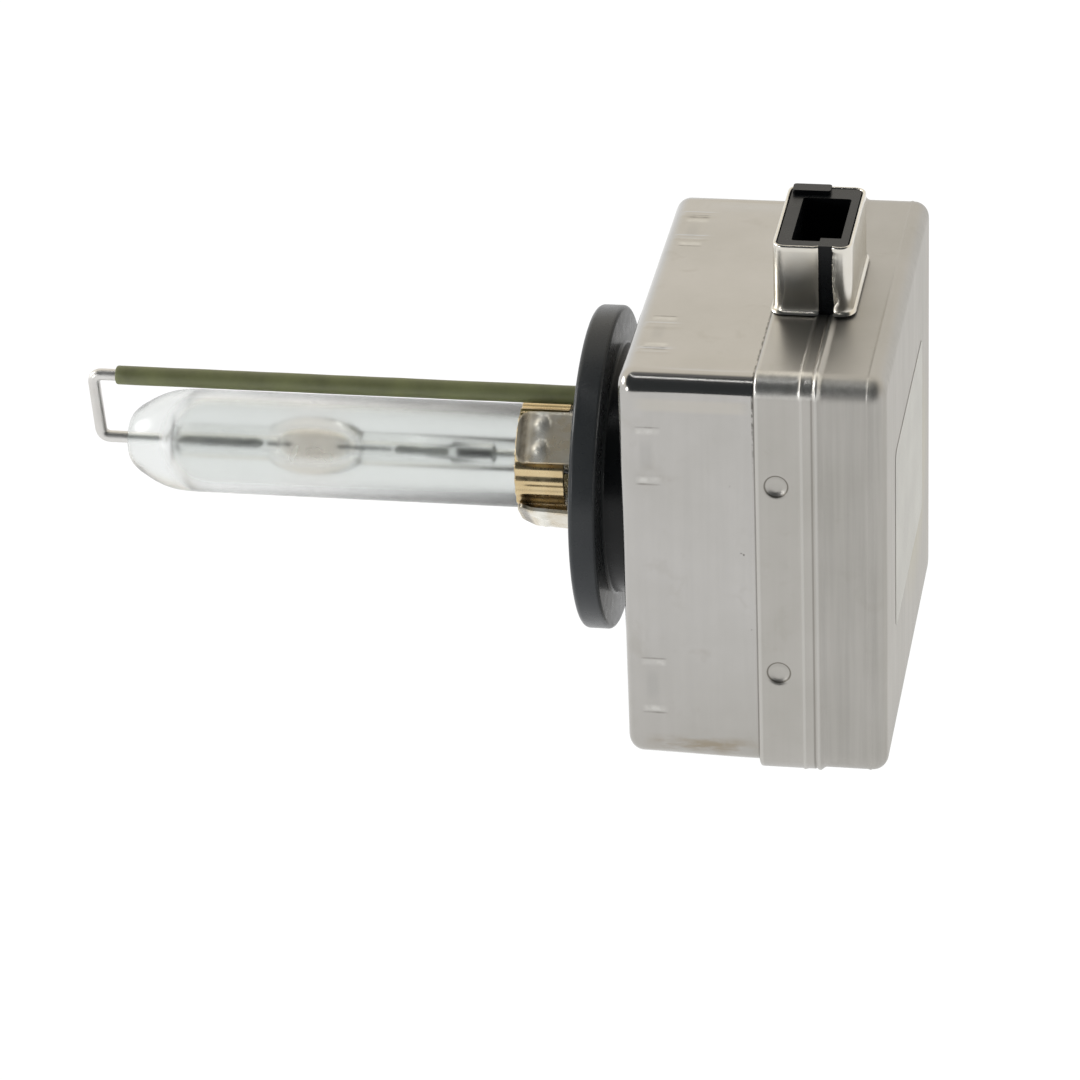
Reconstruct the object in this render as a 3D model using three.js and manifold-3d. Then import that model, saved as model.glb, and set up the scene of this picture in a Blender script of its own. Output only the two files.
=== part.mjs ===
// Gas-discharge headlight bulb with its igniter box behind the base ring.
// Millimetres, +Z up. The origin is the middle of the base ring's front (seating) face.
// -X runs along the burner to its tip, +X into the igniter box, +Z to the connector.
import * as THREE from 'three';
import { mergeVertices } from 'three/addons/utils/BufferGeometryUtils.js';
import Module from 'manifold-3d';

const wasm = await Module();
wasm.setup();

// ---- driving dimensions ----
const RING_R = 16;                  // base ring, the face that seats in the headlamp
const RING_THICK = 2.7;
const HUB_R = 8.2;                  // low collar in front of the ring
const HUB_FRONT = -1.0;
const NECK_R = 12.3;                // round neck between ring and box
const NECK_END = 6.6;
const STEM_HOLE_R = 2.6;
const FREE = 0.1;                     // gap round a piece that passes through another

const BURNER_RISE = 0.8;            // burner axis above the ring's centre
const GLASS_R = 5.15;
const GLASS_WALL = 1.0;
const GLASS_TIP = -47.1;
const GLASS_END = -2.6;
const ARC_X = -28.3;                // middle of the arc
const ARC_GAP = 4.2;
const ARC_TUBE = { front: -42.9, rear: 1.2, stem: 1.7, bore: 0.56, rearBore: 0.8, boreStep: -14.9 };
const CHAMBER = { half: 4.4, swell: 1.25, boreHalf: 3.3, boreSwell: 0.8 };
const ELECTRODE = { r: 0.17, front: -33.1, rear: -20.7 };
const FOIL = { half: 0.5, thick: 0.1, front: [-42.6, -33.4], rear: [-20.4, -15.1] };
const FRONT_LEAD = { x0: GLASS_TIP - 0.1, x1: -42.8, r: 0.25 };
const REAR_LEAD = { x0: -10.4, x1: 10.6, r: 0.3 };
const LEAD_COIL = { x0: -14.3, x1: -10.6, r: 0.55 };

const WIRE_R = 0.6;                 // return wire
const WIRE_FRONT = -50.45;
const WIRE_Z = 7.75;
const WIRE_REAR = 9.2;
const TUBE_R = 0.95;                // ceramic tube around it
const TUBE_BORE = 0.72;
const TUBE_FRONT = -48.0;
const TUBE_REAR = 1.6;

const SLEEVE = { x0: -7.0, x1: -2.1, r: 5.5, bore: 5.28, ridge: 0.1, ridges: 26 };
const LEG = { tip: -6.8, bend: -5.1, foot: 1.4, half: 2.6, thick: 0.35, rTip: 5.7, rBend: 6.15, rFoot: 6.45 };
const NUGGET = { x: -4.4, side: 1.25, size: [0.5, 0.8, 0.3] };   // spot-weld buttons on each leg

const BOX_FRONT = 6.0;              // igniter box
const BOX_STEP = 18.9;             // front edge of the rear shield, which laps the front one
const BOX_RIDGE = 24.95;
const BOX_REAR = 31.2;
const CAN_HALF = 20.7;             // front shield, half of its width and height
const LID_HALF = 21.2;              // rear shield's lip
const LID_REAR_HALF = 21.02;
const SHEET = 0.4;
const EDGE_R = 1.5;
const CORNER_R = EDGE_R + 0.3;
const BEAD = 0.1;
const TAB_MARK = { x0: 7.7, x1: 10.0, inner: 9.6, outer: 15.3, deep: 0.12 };
const DIMPLE = { x: 20.95, z: 10.05, ball: 2, deep: 0.25 };
const WALL_CUT = CAN_HALF + 1.5;       // half size of blocks that cut right through the box

const ROOF_CUT = 18;                   // the connector's openings reach down to here
const SLIT = { x0: 23.6, x1: 24.7 };   // open slit in the shroud's near wall
const SOCKET = { x0: 19.0, x1: 26.55, y0: -7.4, y1: 6.4, z0: 21.32, z1: 28.35 };

const HOUSING = { x0: 19.43, x1: 26.12, y0: -6.97, y1: 5.97, z0: 14.6, z1: 28.25 };

// ---- materials ----
const finish = (color, metalness, roughness) =>
  new THREE.MeshStandardMaterial({ color, metalness, roughness });
const NICKEL = finish(0xbab8b4, 1, 0.35);
const BRIGHT_NICKEL = finish(0xcfcac0, 1, 0.2);
const BLACK = finish(0x1b1c1e, 0, 0.5);
const BRASS = finish(0xb39a5c, 1, 0.35);
const COPPER = finish(0xb06a3c, 1, 0.4);
const STEEL = finish(0x9b9ca0, 1, 0.35);
const CERAMIC = finish(0x696e4b, 0, 0.6);
const WHITE_CERAMIC = finish(0xe6e3da, 0, 0.5);
const QUARTZ = new THREE.MeshStandardMaterial({
  color: 0xe4eef0, metalness: 0, roughness: 0.05, transparent: true, opacity: 0.3,
});
const FERRITE = finish(0x34353a, 0, 0.7);
const GREEN = finish(0x2f6a43, 0, 0.6);
const LABEL = finish(0xc9c6bd, 0.3, 0.5);
const POTTING = finish(0x3a3633, 0, 0.6);
const FILM = finish(0xa58a3a, 0, 0.4);

const part = new THREE.Group();
const burner = new THREE.Group();
burner.position.z = BURNER_RISE;
part.add(burner);

// ---- closed meshes and booleans ----

// Welds a geometry's vertices and turns its faces outwards.
function welded(geometry) {
  const bare = geometry.clone();
  bare.deleteAttribute('normal');
  bare.deleteAttribute('uv');
  const merged = mergeVertices(bare, 1e-4);
  const position = merged.attributes.position;
  const index = merged.index.array;
  const corner = [new THREE.Vector3(), new THREE.Vector3(), new THREE.Vector3()];
  const kept = [];
  let volume = 0;
  for (let i = 0; i < index.length; i += 3) {
    const [a, b, c] = [index[i], index[i + 1], index[i + 2]];
    if (a === b || b === c || c === a) continue;
    kept.push([a, b, c]);
    corner[0].fromBufferAttribute(position, a);
    corner[1].fromBufferAttribute(position, b);
    corner[2].fromBufferAttribute(position, c);
    volume += corner[0].dot(corner[1].cross(corner[2]));
  }
  const faces = volume < 0 ? kept.map(([a, b, c]) => [a, c, b]) : kept;
  merged.setIndex(faces.flat());
  return merged;
}

function solid(geometry) {
  const closed = welded(geometry);
  return new wasm.Manifold(new wasm.Mesh({
    numProp: 3,
    vertProperties: new Float32Array(closed.attributes.position.array),
    triVerts: new Uint32Array(closed.index.array),
  }));
}

function shapeOf(manifold) {
  const mesh = manifold.getMesh();
  const geometry = new THREE.BufferGeometry();
  geometry.setAttribute('position', new THREE.BufferAttribute(mesh.vertProperties, 3));
  geometry.setIndex(new THREE.BufferAttribute(mesh.triVerts, 1));
  return geometry;
}

const cut = (body, ...tools) =>
  shapeOf(tools.reduce((left, tool) => left.subtract(solid(tool)), solid(body)));
const join = (...pieces) =>
  shapeOf(pieces.slice(1).reduce((sum, piece) => sum.add(solid(piece)), solid(pieces[0])));
const overlap = (a, b) => shapeOf(solid(a).intersect(solid(b)));

function add(name, geometry, material, group = part) {
  const mesh = new THREE.Mesh(welded(geometry), material);
  mesh.name = name;
  group.add(mesh);
  return mesh;
}

// ---- shapes ----

// Turned piece about the X axis. The profile is a list of [x, radius].
function turned(profile, sides = 32) {
  const points = profile.map(([x, r]) => new THREE.Vector2(r, x));
  points.push(points[0].clone());
  return new THREE.LatheGeometry(points, sides).rotateZ(-Math.PI / 2);
}

const pipe = (x0, x1, outer, bore, sides) =>
  turned([[x0, bore], [x0, outer], [x1, outer], [x1, bore]], sides);
const rod = (x0, x1, r, sides = 16) =>
  turned([[x0, 0], [x0, r], [x1, r], [x1, 0]], sides);

// A rod along Y.
const rodY = (y0, y1, r, x, z, sides = 20) =>
  new THREE.CylinderGeometry(r, r, y1 - y0, sides).translate(x, (y0 + y1) / 2, z);

// A box from its lowest and highest corners.
const block = (x0, x1, y0, y1, z0, z1) =>
  new THREE.BoxGeometry(x1 - x0, y1 - y0, z1 - z0)
    .translate((x0 + x1) / 2, (y0 + y1) / 2, (z0 + z1) / 2);

function roundedRect(u0, u1, v0, v1, r) {
  const shape = new THREE.Shape();
  shape.absarc(u1 - r, v0 + r, r, -Math.PI / 2, 0);
  shape.absarc(u1 - r, v1 - r, r, 0, Math.PI / 2);
  shape.absarc(u0 + r, v1 - r, r, Math.PI / 2, Math.PI);
  shape.absarc(u0 + r, v0 + r, r, Math.PI, 1.5 * Math.PI);
  shape.closePath();
  return shape;
}

const ALONG_X = new THREE.Matrix4().makeBasis(
  new THREE.Vector3(0, 1, 0), new THREE.Vector3(0, 0, 1), new THREE.Vector3(1, 0, 0));

// Block with its four X edges rounded by r, and both ends rounded by `end` where that isn't 0.
function casing(x0, x1, half, r, end = 0) {
  const bevel = end ? { bevelSize: end, bevelThickness: end, bevelOffset: -end, bevelSegments: 3 } : {};
  return new THREE.ExtrudeGeometry(roundedRect(-half, half, -half, half, r), {
    depth: x1 - x0 - 2 * end, bevelEnabled: end > 0, curveSegments: 4, ...bevel,
  }).translate(0, 0, x0 + end).applyMatrix4(ALONG_X);
}

// Upright block with round corners in plan.
function upright(x0, x1, y0, y1, z0, z1, r) {
  return new THREE.ExtrudeGeometry(roundedRect(x0, x1, y0, y1, r), {
    depth: z1 - z0, bevelEnabled: false, curveSegments: 5,
  }).translate(0, 0, z0);
}

function circleOutline(r, sides) {
  const points = [];
  for (let i = 0; i < sides; i++) {
    const turn = (i / sides) * 2 * Math.PI;
    points.push(new THREE.Vector2(r * Math.cos(turn), r * Math.sin(turn)));
  }
  return points;
}

// A bar of the given section along straight runs with round bends.
function bentBar(corners, bend, section, steps) {
  const path = new THREE.CurvePath();
  let from = corners[0];
  for (let i = 1; i < corners.length - 1; i++) {
    const back = corners[i - 1].clone().sub(corners[i]).setLength(bend);
    const ahead = corners[i + 1].clone().sub(corners[i]).setLength(bend);
    const start = corners[i].clone().add(back);
    const end = corners[i].clone().add(ahead);
    path.add(new THREE.LineCurve3(from, start));
    path.add(new THREE.QuadraticBezierCurve3(start, corners[i], end));
    from = end;
  }
  path.add(new THREE.LineCurve3(from, corners[corners.length - 1]));
  return new THREE.ExtrudeGeometry(new THREE.Shape(section), { steps, extrudePath: path });
}

const at = (x, y, z) => new THREE.Vector3(x, y, z);

// ---- burner ----

function outerBulb() {
  const bore = GLASS_R - GLASS_WALL;
  const leadHole = 0.4;
  const tip = GLASS_TIP;
  return turned([
    [tip, leadHole], [tip, 1.7], [tip + 0.3, 2.4], [tip + 0.8, 2.95], [tip + 1.3, 3.35],
    [tip + 2.0, 3.85], [tip + 2.6, 4.15], [tip + 3.4, 4.55], [tip + 4.3, 4.85], [tip + 5.2, 5.05],
    [tip + 6.4, GLASS_R], [GLASS_END, GLASS_R], [GLASS_END, bore], [tip + 7, bore],
    [tip + 5.6, 3.6], [tip + 4.4, 2.4], [tip + 3.7, leadHole],
  ], 32);
}

function arcTube() {
  const { front, rear, stem, bore, rearBore, boreStep } = ARC_TUBE;
  const round = 0.5;
  const outside = [];
  const inside = [];
  const steps = 8;
  for (let i = 0; i <= steps; i++) {
    const swing = Math.PI * (1 - i / steps);
    const along = Math.cos(swing);
    const out = Math.sin(swing);
    outside.push([ARC_X + CHAMBER.half * along, stem + CHAMBER.swell * out ** 1.4]);
    inside.push([ARC_X - CHAMBER.boreHalf * along, bore + CHAMBER.boreSwell * out]);
  }
  return turned([
    [front, bore], [front, stem - 0.2], [front + round, stem], ...outside, [rear, stem],
    [rear, rearBore], [boreStep + 0.4, rearBore], [boreStep, bore], ...inside,
  ], 24);
}

function burnerParts() {
  const frontTip = ARC_X - ARC_GAP / 2;
  const rearTip = ARC_X + ARC_GAP / 2;
  const wire = ({ x0, x1, r }, sides) => rod(x0, x1, r, sides);
  const foil = ([x0, x1]) =>
    block(x0, x1, -FOIL.half, FOIL.half, -FOIL.thick / 2, FOIL.thick / 2);
  add('outer_bulb', outerBulb(), QUARTZ, burner);
  add('arc_tube', arcTube(), QUARTZ, burner);
  add('front_electrode', rod(ELECTRODE.front, frontTip, ELECTRODE.r, 12), STEEL, burner);
  add('rear_electrode', rod(rearTip, ELECTRODE.rear, ELECTRODE.r, 12), STEEL, burner);
  add('front_foil', foil(FOIL.front), STEEL, burner);
  add('rear_foil', foil(FOIL.rear), STEEL, burner);
  add('front_lead', wire(FRONT_LEAD, 12), STEEL, burner);
  add('rear_lead', wire(REAR_LEAD, 12), STEEL, burner);
  add('rear_lead_coil', wire(LEAD_COIL, 16), STEEL, burner);
}

// Brass band around the bulb's rear end, with ridges along it.
function clampSleeve() {
  const { x0, x1, r, bore, ridge, ridges } = SLEEVE;
  const pointsEach = 4;
  const outline = [];
  for (let i = 0; i < ridges * pointsEach; i++) {
    const turn = (i / (ridges * pointsEach)) * 2 * Math.PI;
    const out = r + ridge * Math.cos(ridges * turn);
    outline.push(new THREE.Vector2(out * Math.cos(turn), out * Math.sin(turn)));
  }
  const shape = new THREE.Shape(outline);
  shape.holes.push(new THREE.Path(circleOutline(bore, 32)));
  return new THREE.ExtrudeGeometry(shape, { depth: x1 - x0, bevelEnabled: false })
    .translate(0, 0, x0).applyMatrix4(ALONG_X);
}

// One of the four bent legs that rise from the ring and hold the sleeve. It is drawn with its
// broad face towards +Z and then turned about the burner axis.
function burnerLeg(turn) {
  const { tip, bend, foot, half, thick, rTip, rBend, rFoot } = LEG;
  const side = new THREE.Shape([
    new THREE.Vector2(foot, rFoot), new THREE.Vector2(foot, rFoot + thick),
    new THREE.Vector2(bend, rBend + thick), new THREE.Vector2(tip, rTip + thick),
    new THREE.Vector2(tip, rTip), new THREE.Vector2(bend, rBend),
  ]);
  const strip = new THREE.ExtrudeGeometry(side, { depth: 2 * half, bevelEnabled: false })
    .rotateX(Math.PI / 2).translate(0, half, 0);
  const outline = new THREE.ExtrudeGeometry(roundedRect(tip, foot + 3, -half, half, 0.9), {
    depth: 4, bevelEnabled: false, curveSegments: 4,
  }).translate(0, 0, rTip - 1.7);
  const nugget = (y) => new THREE.SphereGeometry(1, 8, 6).scale(...NUGGET.size)
    .translate(NUGGET.x, y, rBend + thick);
  const plate = join(overlap(strip, outline), nugget(-NUGGET.side), nugget(NUGGET.side));
  return plate.rotateX(turn);
}

function returnPath() {
  const lean = 0.1;
  const corners = [
    at(WIRE_REAR, 0, WIRE_Z), at(WIRE_FRONT, 0, WIRE_Z),
    at(WIRE_FRONT + lean, 0, BURNER_RISE), at(GLASS_TIP - 0.2, 0, BURNER_RISE),
  ];
  add('return_wire', bentBar(corners, 0.9, circleOutline(WIRE_R, 8), 64), NICKEL);
  const tube = pipe(TUBE_FRONT, TUBE_REAR, TUBE_R, TUBE_BORE, 16).translate(0, 0, WIRE_Z);
  add('ceramic_tube', tube, CERAMIC);
}

const LEG_TURNS = [45, 135, 225, 315].map((degrees) => degrees * Math.PI / 180);

function mountingParts() {
  add('clamp_sleeve', clampSleeve(), BRASS, burner);
  LEG_TURNS.forEach((turn, i) => add(`burner_leg_${i + 1}`, burnerLeg(turn), NICKEL, burner));
  const edge = 0.35;
  const body = turned([
    [HUB_FRONT, 0], [HUB_FRONT, HUB_R - edge], [HUB_FRONT + edge, HUB_R], [0, HUB_R],
    [0, RING_R - edge], [edge, RING_R], [RING_THICK - edge, RING_R], [RING_THICK, RING_R - edge],
    [RING_THICK, NECK_R], [NECK_END, NECK_R], [NECK_END, 0],
  ], 56);
  const stemHole = rod(HUB_FRONT - 1, NECK_END + 1, STEM_HOLE_R, 20).translate(0, 0, BURNER_RISE);
  const tubeHole = rod(HUB_FRONT - 1, TUBE_REAR + 0.4, TUBE_R + FREE, 16).translate(0, 0, WIRE_Z);
  const wireHole = rod(1, NECK_END + 1, WIRE_R + FREE + 0.05, 12).translate(0, 0, WIRE_Z);
  const legSlot = (turn) => block(HUB_FRONT - 1, LEG.foot + 0.2, -LEG.half - 0.15, LEG.half + 0.15,
    LEG.rFoot - 0.2, LEG.rFoot + LEG.thick + 0.25)
    .rotateX(turn).translate(0, 0, BURNER_RISE);
  add('base_ring', cut(body, stemHole, tubeHole, wireHole, ...LEG_TURNS.map(legSlot)), BLACK);
}

// ---- igniter box ----

// Turns a tool made for the top face to each of the box's four long faces.
function aroundBox(make) {
  return [0, 1, 2, 3].flatMap((quarter) =>
    make().map((tool) => tool.rotateX(quarter * Math.PI / 2)));
}

function frontShield() {
  const end = BOX_STEP + 0.9;            // this much of it lies under the rear shield's lip
  const outer = casing(BOX_FRONT, end + 5, CAN_HALF, CORNER_R, EDGE_R);
  const inner = casing(BOX_FRONT + SHEET, end + 7, CAN_HALF - SHEET, EDGE_R, EDGE_R - 0.3);
  const open = block(end, end + 8, -WALL_CUT, WALL_CUT, -WALL_CUT, WALL_CUT);
  const neckHole = rod(BOX_FRONT - 1, BOX_FRONT + 2, NECK_R + 0.15, 56);
  const { x0, x1, inner: near, outer: far, deep } = TAB_MARK;
  const tabMark = () => [[near, far], [-far, -near]].map(([y0, y1]) =>
    block(x0, x1, y0, y1, CAN_HALF - deep, CAN_HALF + 1));
  const notch = block(HOUSING.x0 - 0.15, BOX_STEP + 2, SOCKET.y0, SOCKET.y1, ROOF_CUT, SOCKET.z0 + 2);
  return cut(outer, inner, open, neckHole, notch, ...aroundBox(tabMark));
}

function rearShield() {
  const beadHalf = 0.35;
  const lip = casing(BOX_STEP, BOX_RIDGE, LID_HALF, CORNER_R);
  const ridge = casing(BOX_RIDGE - beadHalf, BOX_RIDGE + beadHalf, LID_HALF + BEAD, CORNER_R);
  const back = casing(BOX_RIDGE - 5, BOX_REAR, LID_REAR_HALF, CORNER_R, EDGE_R);
  const inner = casing(BOX_STEP - 9, BOX_REAR - SHEET, LID_REAR_HALF - SHEET, EDGE_R, EDGE_R - 0.3);
  const lipBore = casing(BOX_STEP - 1, BOX_STEP + 1.3, CAN_HALF + FREE, CORNER_R);
  const dimple = (y, z) => new THREE.SphereGeometry(DIMPLE.ball, 16, 12)
    .translate(DIMPLE.x, y * (LID_HALF + DIMPLE.ball - DIMPLE.deep), z);
  const dimples = [-1, 1].flatMap((y) => [dimple(y, DIMPLE.z), dimple(y, -DIMPLE.z)]);
  const notch = block(SOCKET.x0 - 1, SOCKET.x1 - 0.3, SOCKET.y0 + 0.3, SOCKET.y1 - 0.3,
    ROOF_CUT, SOCKET.z0 + 2);
  return cut(join(lip, ridge, back), inner, lipBore, notch, ...dimples);
}

function connectorShroud() {
  const { x0, x1, y0, y1, z0, z1 } = SOCKET;
  const foot = 0.55;
  const wall = 0.35;
  const flare = upright(x0 - foot / 2, x1 + foot, y0 - foot, y1 + foot, z0, z0 + 0.4, 1.6);
  const body = upright(x0, x1, y0, y1, z0, z1, 1.1);
  const bore = upright(x0 + wall, x1 - wall, y0 + wall, y1 - wall, z0 - 1, z1 + 1, 0.8);
  const slit = block(SLIT.x0, SLIT.x1, y0 - 2, y0 + 1, z0 - 1, z1 + 1);
  return cut(join(flare, body), bore, slit);
}

const CAVITY = { x0: 20.7, x1: 25.35, y0: -5.9, y1: 3.75, z0: 16.8 };
const PINS = [[22.1, -3.4], [22.1, 1.3], [24.1, -3.4], [24.1, 1.3]];
const PIN = { half: 0.32, hole: 0.45, top: 24, drop: 12.2, bend: 0.7 };
const BOARD = { x0: 26.5, x1: 27.9, half: 18.4 };
const pinDrop = (x) => PIN.drop - (PINS[3][0] - x) * 0.6;   // the front pair reaches lower, clear of the rear

function connectorHousing() {
  const { x0, x1, y0, y1, z0, z1 } = HOUSING;
  const body = upright(x0, x1, y0, y1, z0, z1, 0.7);
  const latch = upright(x0 + 0.1, x0 + 3.8, y1 - 1.5, y1, z1 - 1, z1 + 0.45, 0.3);
  const cavity = upright(CAVITY.x0, CAVITY.x1, CAVITY.y0, CAVITY.y1, CAVITY.z0, z1 + 2, 0.3);
  const key = block(SLIT.x0 - 0.2, CAVITY.x1 + 0.3, CAVITY.y0 - 0.3, CAVITY.y0 + 0.75, CAVITY.z0 - 0.3, z1);
  const hole = ([x, y]) => block(x - PIN.hole, x + PIN.hole,
    y - PIN.hole, y + PIN.hole, z0 - 1, CAVITY.z0 + 1);
  return cut(join(cut(join(body, latch), cavity), key), ...PINS.map(hole));
}

function connectorPin([x, y]) {
  const { half, top, bend } = PIN;
  const section = [
    new THREE.Vector2(-half, -half), new THREE.Vector2(half, -half),
    new THREE.Vector2(half, half), new THREE.Vector2(-half, half),
  ];
  const drop = pinDrop(x);
  const corners = [at(x, y, top), at(x, y, drop), at(BOARD.x1 + 0.5, y, drop)];
  return bentBar(corners, bend, section, 18);
}

const LABEL_HALF = [12.5, 9.5];

function boxParts() {
  add('front_shield', frontShield(), NICKEL);
  add('rear_shield', rearShield(), NICKEL);
  add('connector_shroud', connectorShroud(), BRIGHT_NICKEL);
  add('connector_housing', connectorHousing(), BLACK);
  PINS.forEach((place, i) => add(`connector_pin_${i + 1}`, connectorPin(place), BRASS));
  const label = roundedRect(-LABEL_HALF[0], LABEL_HALF[0], -LABEL_HALF[1], LABEL_HALF[1], 1);
  add('blank_label', new THREE.ExtrudeGeometry(label, { depth: 0.12, bevelEnabled: false, curveSegments: 3 })
    .translate(0, 0, BOX_REAR + 0.02).applyMatrix4(ALONG_X), LABEL);
}

// ---- inside the box ----

const POTTING_HALF = 19.2;
const TUB = { x0: 6.8, x1: 24.2, half: 19.9, wall: 1.2 };

function igniterTub() {
  const outer = casing(TUB.x0, TUB.x1 + 3, TUB.half, CORNER_R, EDGE_R);
  const open = block(TUB.x1, TUB.x1 + 4, -WALL_CUT, WALL_CUT, -WALL_CUT, WALL_CUT);
  const inner = casing(TUB.x0 + TUB.wall, TUB.x1 + 5, TUB.half - TUB.wall, 1);
  const leadHole = rod(TUB.x0 - 1, TUB.x0 + 3, STEM_HOLE_R - 0.4, 24).translate(0, 0, BURNER_RISE);
  const wireHole = rod(TUB.x0 - 1, TUB.x0 + 3, WIRE_R + 0.15, 16).translate(0, 0, WIRE_Z);
  const socketNotch = block(SOCKET.x0, TUB.x1 + 1, SOCKET.y0 + 0.2, SOCKET.y1 - 0.2, 15, 22);
  return cut(outer, inner, open, leadHole, wireHole, socketNotch);
}

const COIL = { x: 16.2, z: -9.5, half: 15, coreR: 3, tubeR: 3.9, flangeR: 6.6, sections: 4 };

// Section walls stand along the bobbin, with one winding between each pair.
function coilParts() {
  const { x, z, half, coreR, tubeR, flangeR, sections } = COIL;
  const wall = 0.8;
  const pitch = (2 * half - wall) / sections;
  const walls = [];
  for (let i = 0; i <= sections; i++) {
    const y = -half + i * pitch;
    walls.push(rodY(y, y + wall, flangeR, x, z, 20));
  }
  const tube = rodY(-half, half, tubeR, x, z, 20);
  const bore = rodY(-half - 1, half + 1, coreR + 0.15, x, z, 20);
  add('transformer_core', rodY(-half - 1.5, half + 1.5, coreR, x, z, 16), FERRITE);
  add('coil_bobbin', cut(join(tube, ...walls), bore), BLACK);
  for (let i = 0; i < sections; i++) {
    const y0 = -half + i * pitch + wall + 0.1;
    const y1 = -half + (i + 1) * pitch - 0.1;
    const wound = rodY(y0, y1, flangeR - 0.5, x, z, 20);
    add(`secondary_winding_${i + 1}`, cut(wound, rodY(y0 - 1, y1 + 1, tubeR + 0.15, x, z, 20)), COPPER);
  }
  const primaryHalf = 6;
  const wrap = rodY(-primaryHalf, primaryHalf, flangeR + 0.5, x, z, 24);
  const wrapped = rodY(-primaryHalf - 1, primaryHalf + 1, flangeR + 0.15, x, z, 24);
  add('primary_winding', cut(wrap, wrapped), COPPER);
}

const GAP = { x: 15.5, z: 8.2, r: 3.8, y0: 7, y1: 12.4, cap: 1, pole: 1.6, between: 0.6 };

function sparkGap() {
  const { x, z, r, y0, y1, cap, pole, between } = GAP;
  const middle = (y0 + y1) / 2;
  const body = cut(rodY(y0, y1, r, x, z), rodY(y0 - 1, y1 + 1, r - 1, x, z));
  const near = join(rodY(y0 - cap - 0.1, y0 - 0.1, r, x, z),
    rodY(y0 - 0.5, middle - between / 2, pole, x, z));
  const far = join(rodY(y1 + 0.1, y1 + cap + 0.1, r, x, z),
    rodY(middle + between / 2, y1 + 0.5, pole, x, z));
  add('spark_gap_body', body, WHITE_CERAMIC);
  add('spark_gap_cap_1', near, STEEL);
  add('spark_gap_cap_2', far, STEEL);
}

const CAPACITOR = { x0: 10.5, x1: 21, y0: -16.5, y1: -8.6, z0: -1, z1: 11 };
const RESISTOR = { x: 11, y: 13.5, z: 0.8, r: 1.2, length: 7 };
const CONTACT = { x0: 8.6, x1: 12.8, r: 1.5, bore: 0.4 };
const STRAP = { x0: 9.5, thick: 0.5, z0: 6.6, z1: 10.4, y0: -0.9, wide: 2 };

function insideParts() {
  add('igniter_tub', igniterTub(), BLACK);
  coilParts();
  sparkGap();
  const { x0, x1, y0, y1, z0, z1 } = CAPACITOR;
  add('storage_capacitor', upright(x0, x1, y0, y1, z0, z1, 0.8), FILM);
  const { r, length } = RESISTOR;
  add('bleeder_resistor', turned([
    [0, 0], [0, r - 0.3], [0.4, r], [1.6, r], [2, r - 0.2], [length - 2, r - 0.2],
    [length - 1.6, r], [length - 0.4, r], [length, r - 0.3], [length, 0],
  ], 12).translate(RESISTOR.x, RESISTOR.y, RESISTOR.z), WHITE_CERAMIC);
  const contact = pipe(CONTACT.x0, CONTACT.x1, CONTACT.r, CONTACT.bore, 16);
  add('high_voltage_contact', contact.translate(0, 0, BURNER_RISE), BRASS);
  const inner = STRAP.x0 + STRAP.thick;
  const under = STRAP.z1 - STRAP.thick;
  const end = BOARD.x0 - 0.2;
  const strap = new THREE.Shape([
    new THREE.Vector2(STRAP.x0, STRAP.z0), new THREE.Vector2(inner, STRAP.z0),
    new THREE.Vector2(inner, under), new THREE.Vector2(end, under),
    new THREE.Vector2(end, STRAP.z1), new THREE.Vector2(STRAP.x0, STRAP.z1),
  ]);
  add('return_strap', new THREE.ExtrudeGeometry(strap, { depth: STRAP.wide, bevelEnabled: false })
    .rotateX(Math.PI / 2).translate(0, STRAP.y0 + STRAP.wide, 0), BRASS);
  const pinHole = ([x, y]) => block(BOARD.x0 - 1, BOARD.x1 + 1,
    y - PIN.hole, y + PIN.hole, pinDrop(x) - PIN.hole, pinDrop(x) + PIN.hole);
  const board = casing(BOARD.x0, BOARD.x1, BOARD.half, 1);
  add('circuit_board', cut(board, ...PINS.map(pinHole)), GREEN);
  add('potting_layer', casing(BOARD.x1 + 0.7, BOX_REAR - SHEET - 0.3, POTTING_HALF, 1), POTTING);
}

burnerParts();
returnPath();
mountingParts();
boxParts();
insideParts();

export default part;
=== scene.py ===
"""Headlight bulb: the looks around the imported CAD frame.

Lengths in the helpers are millimetres (MM turns them into metres). The frame's origin is the
middle of the base ring's front face, -X to the burner's tip, +X into the igniter box, +Z up.
"""
import math

import bmesh
import bpy
import numpy as np
from mathutils import Matrix, Vector, noise


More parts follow.
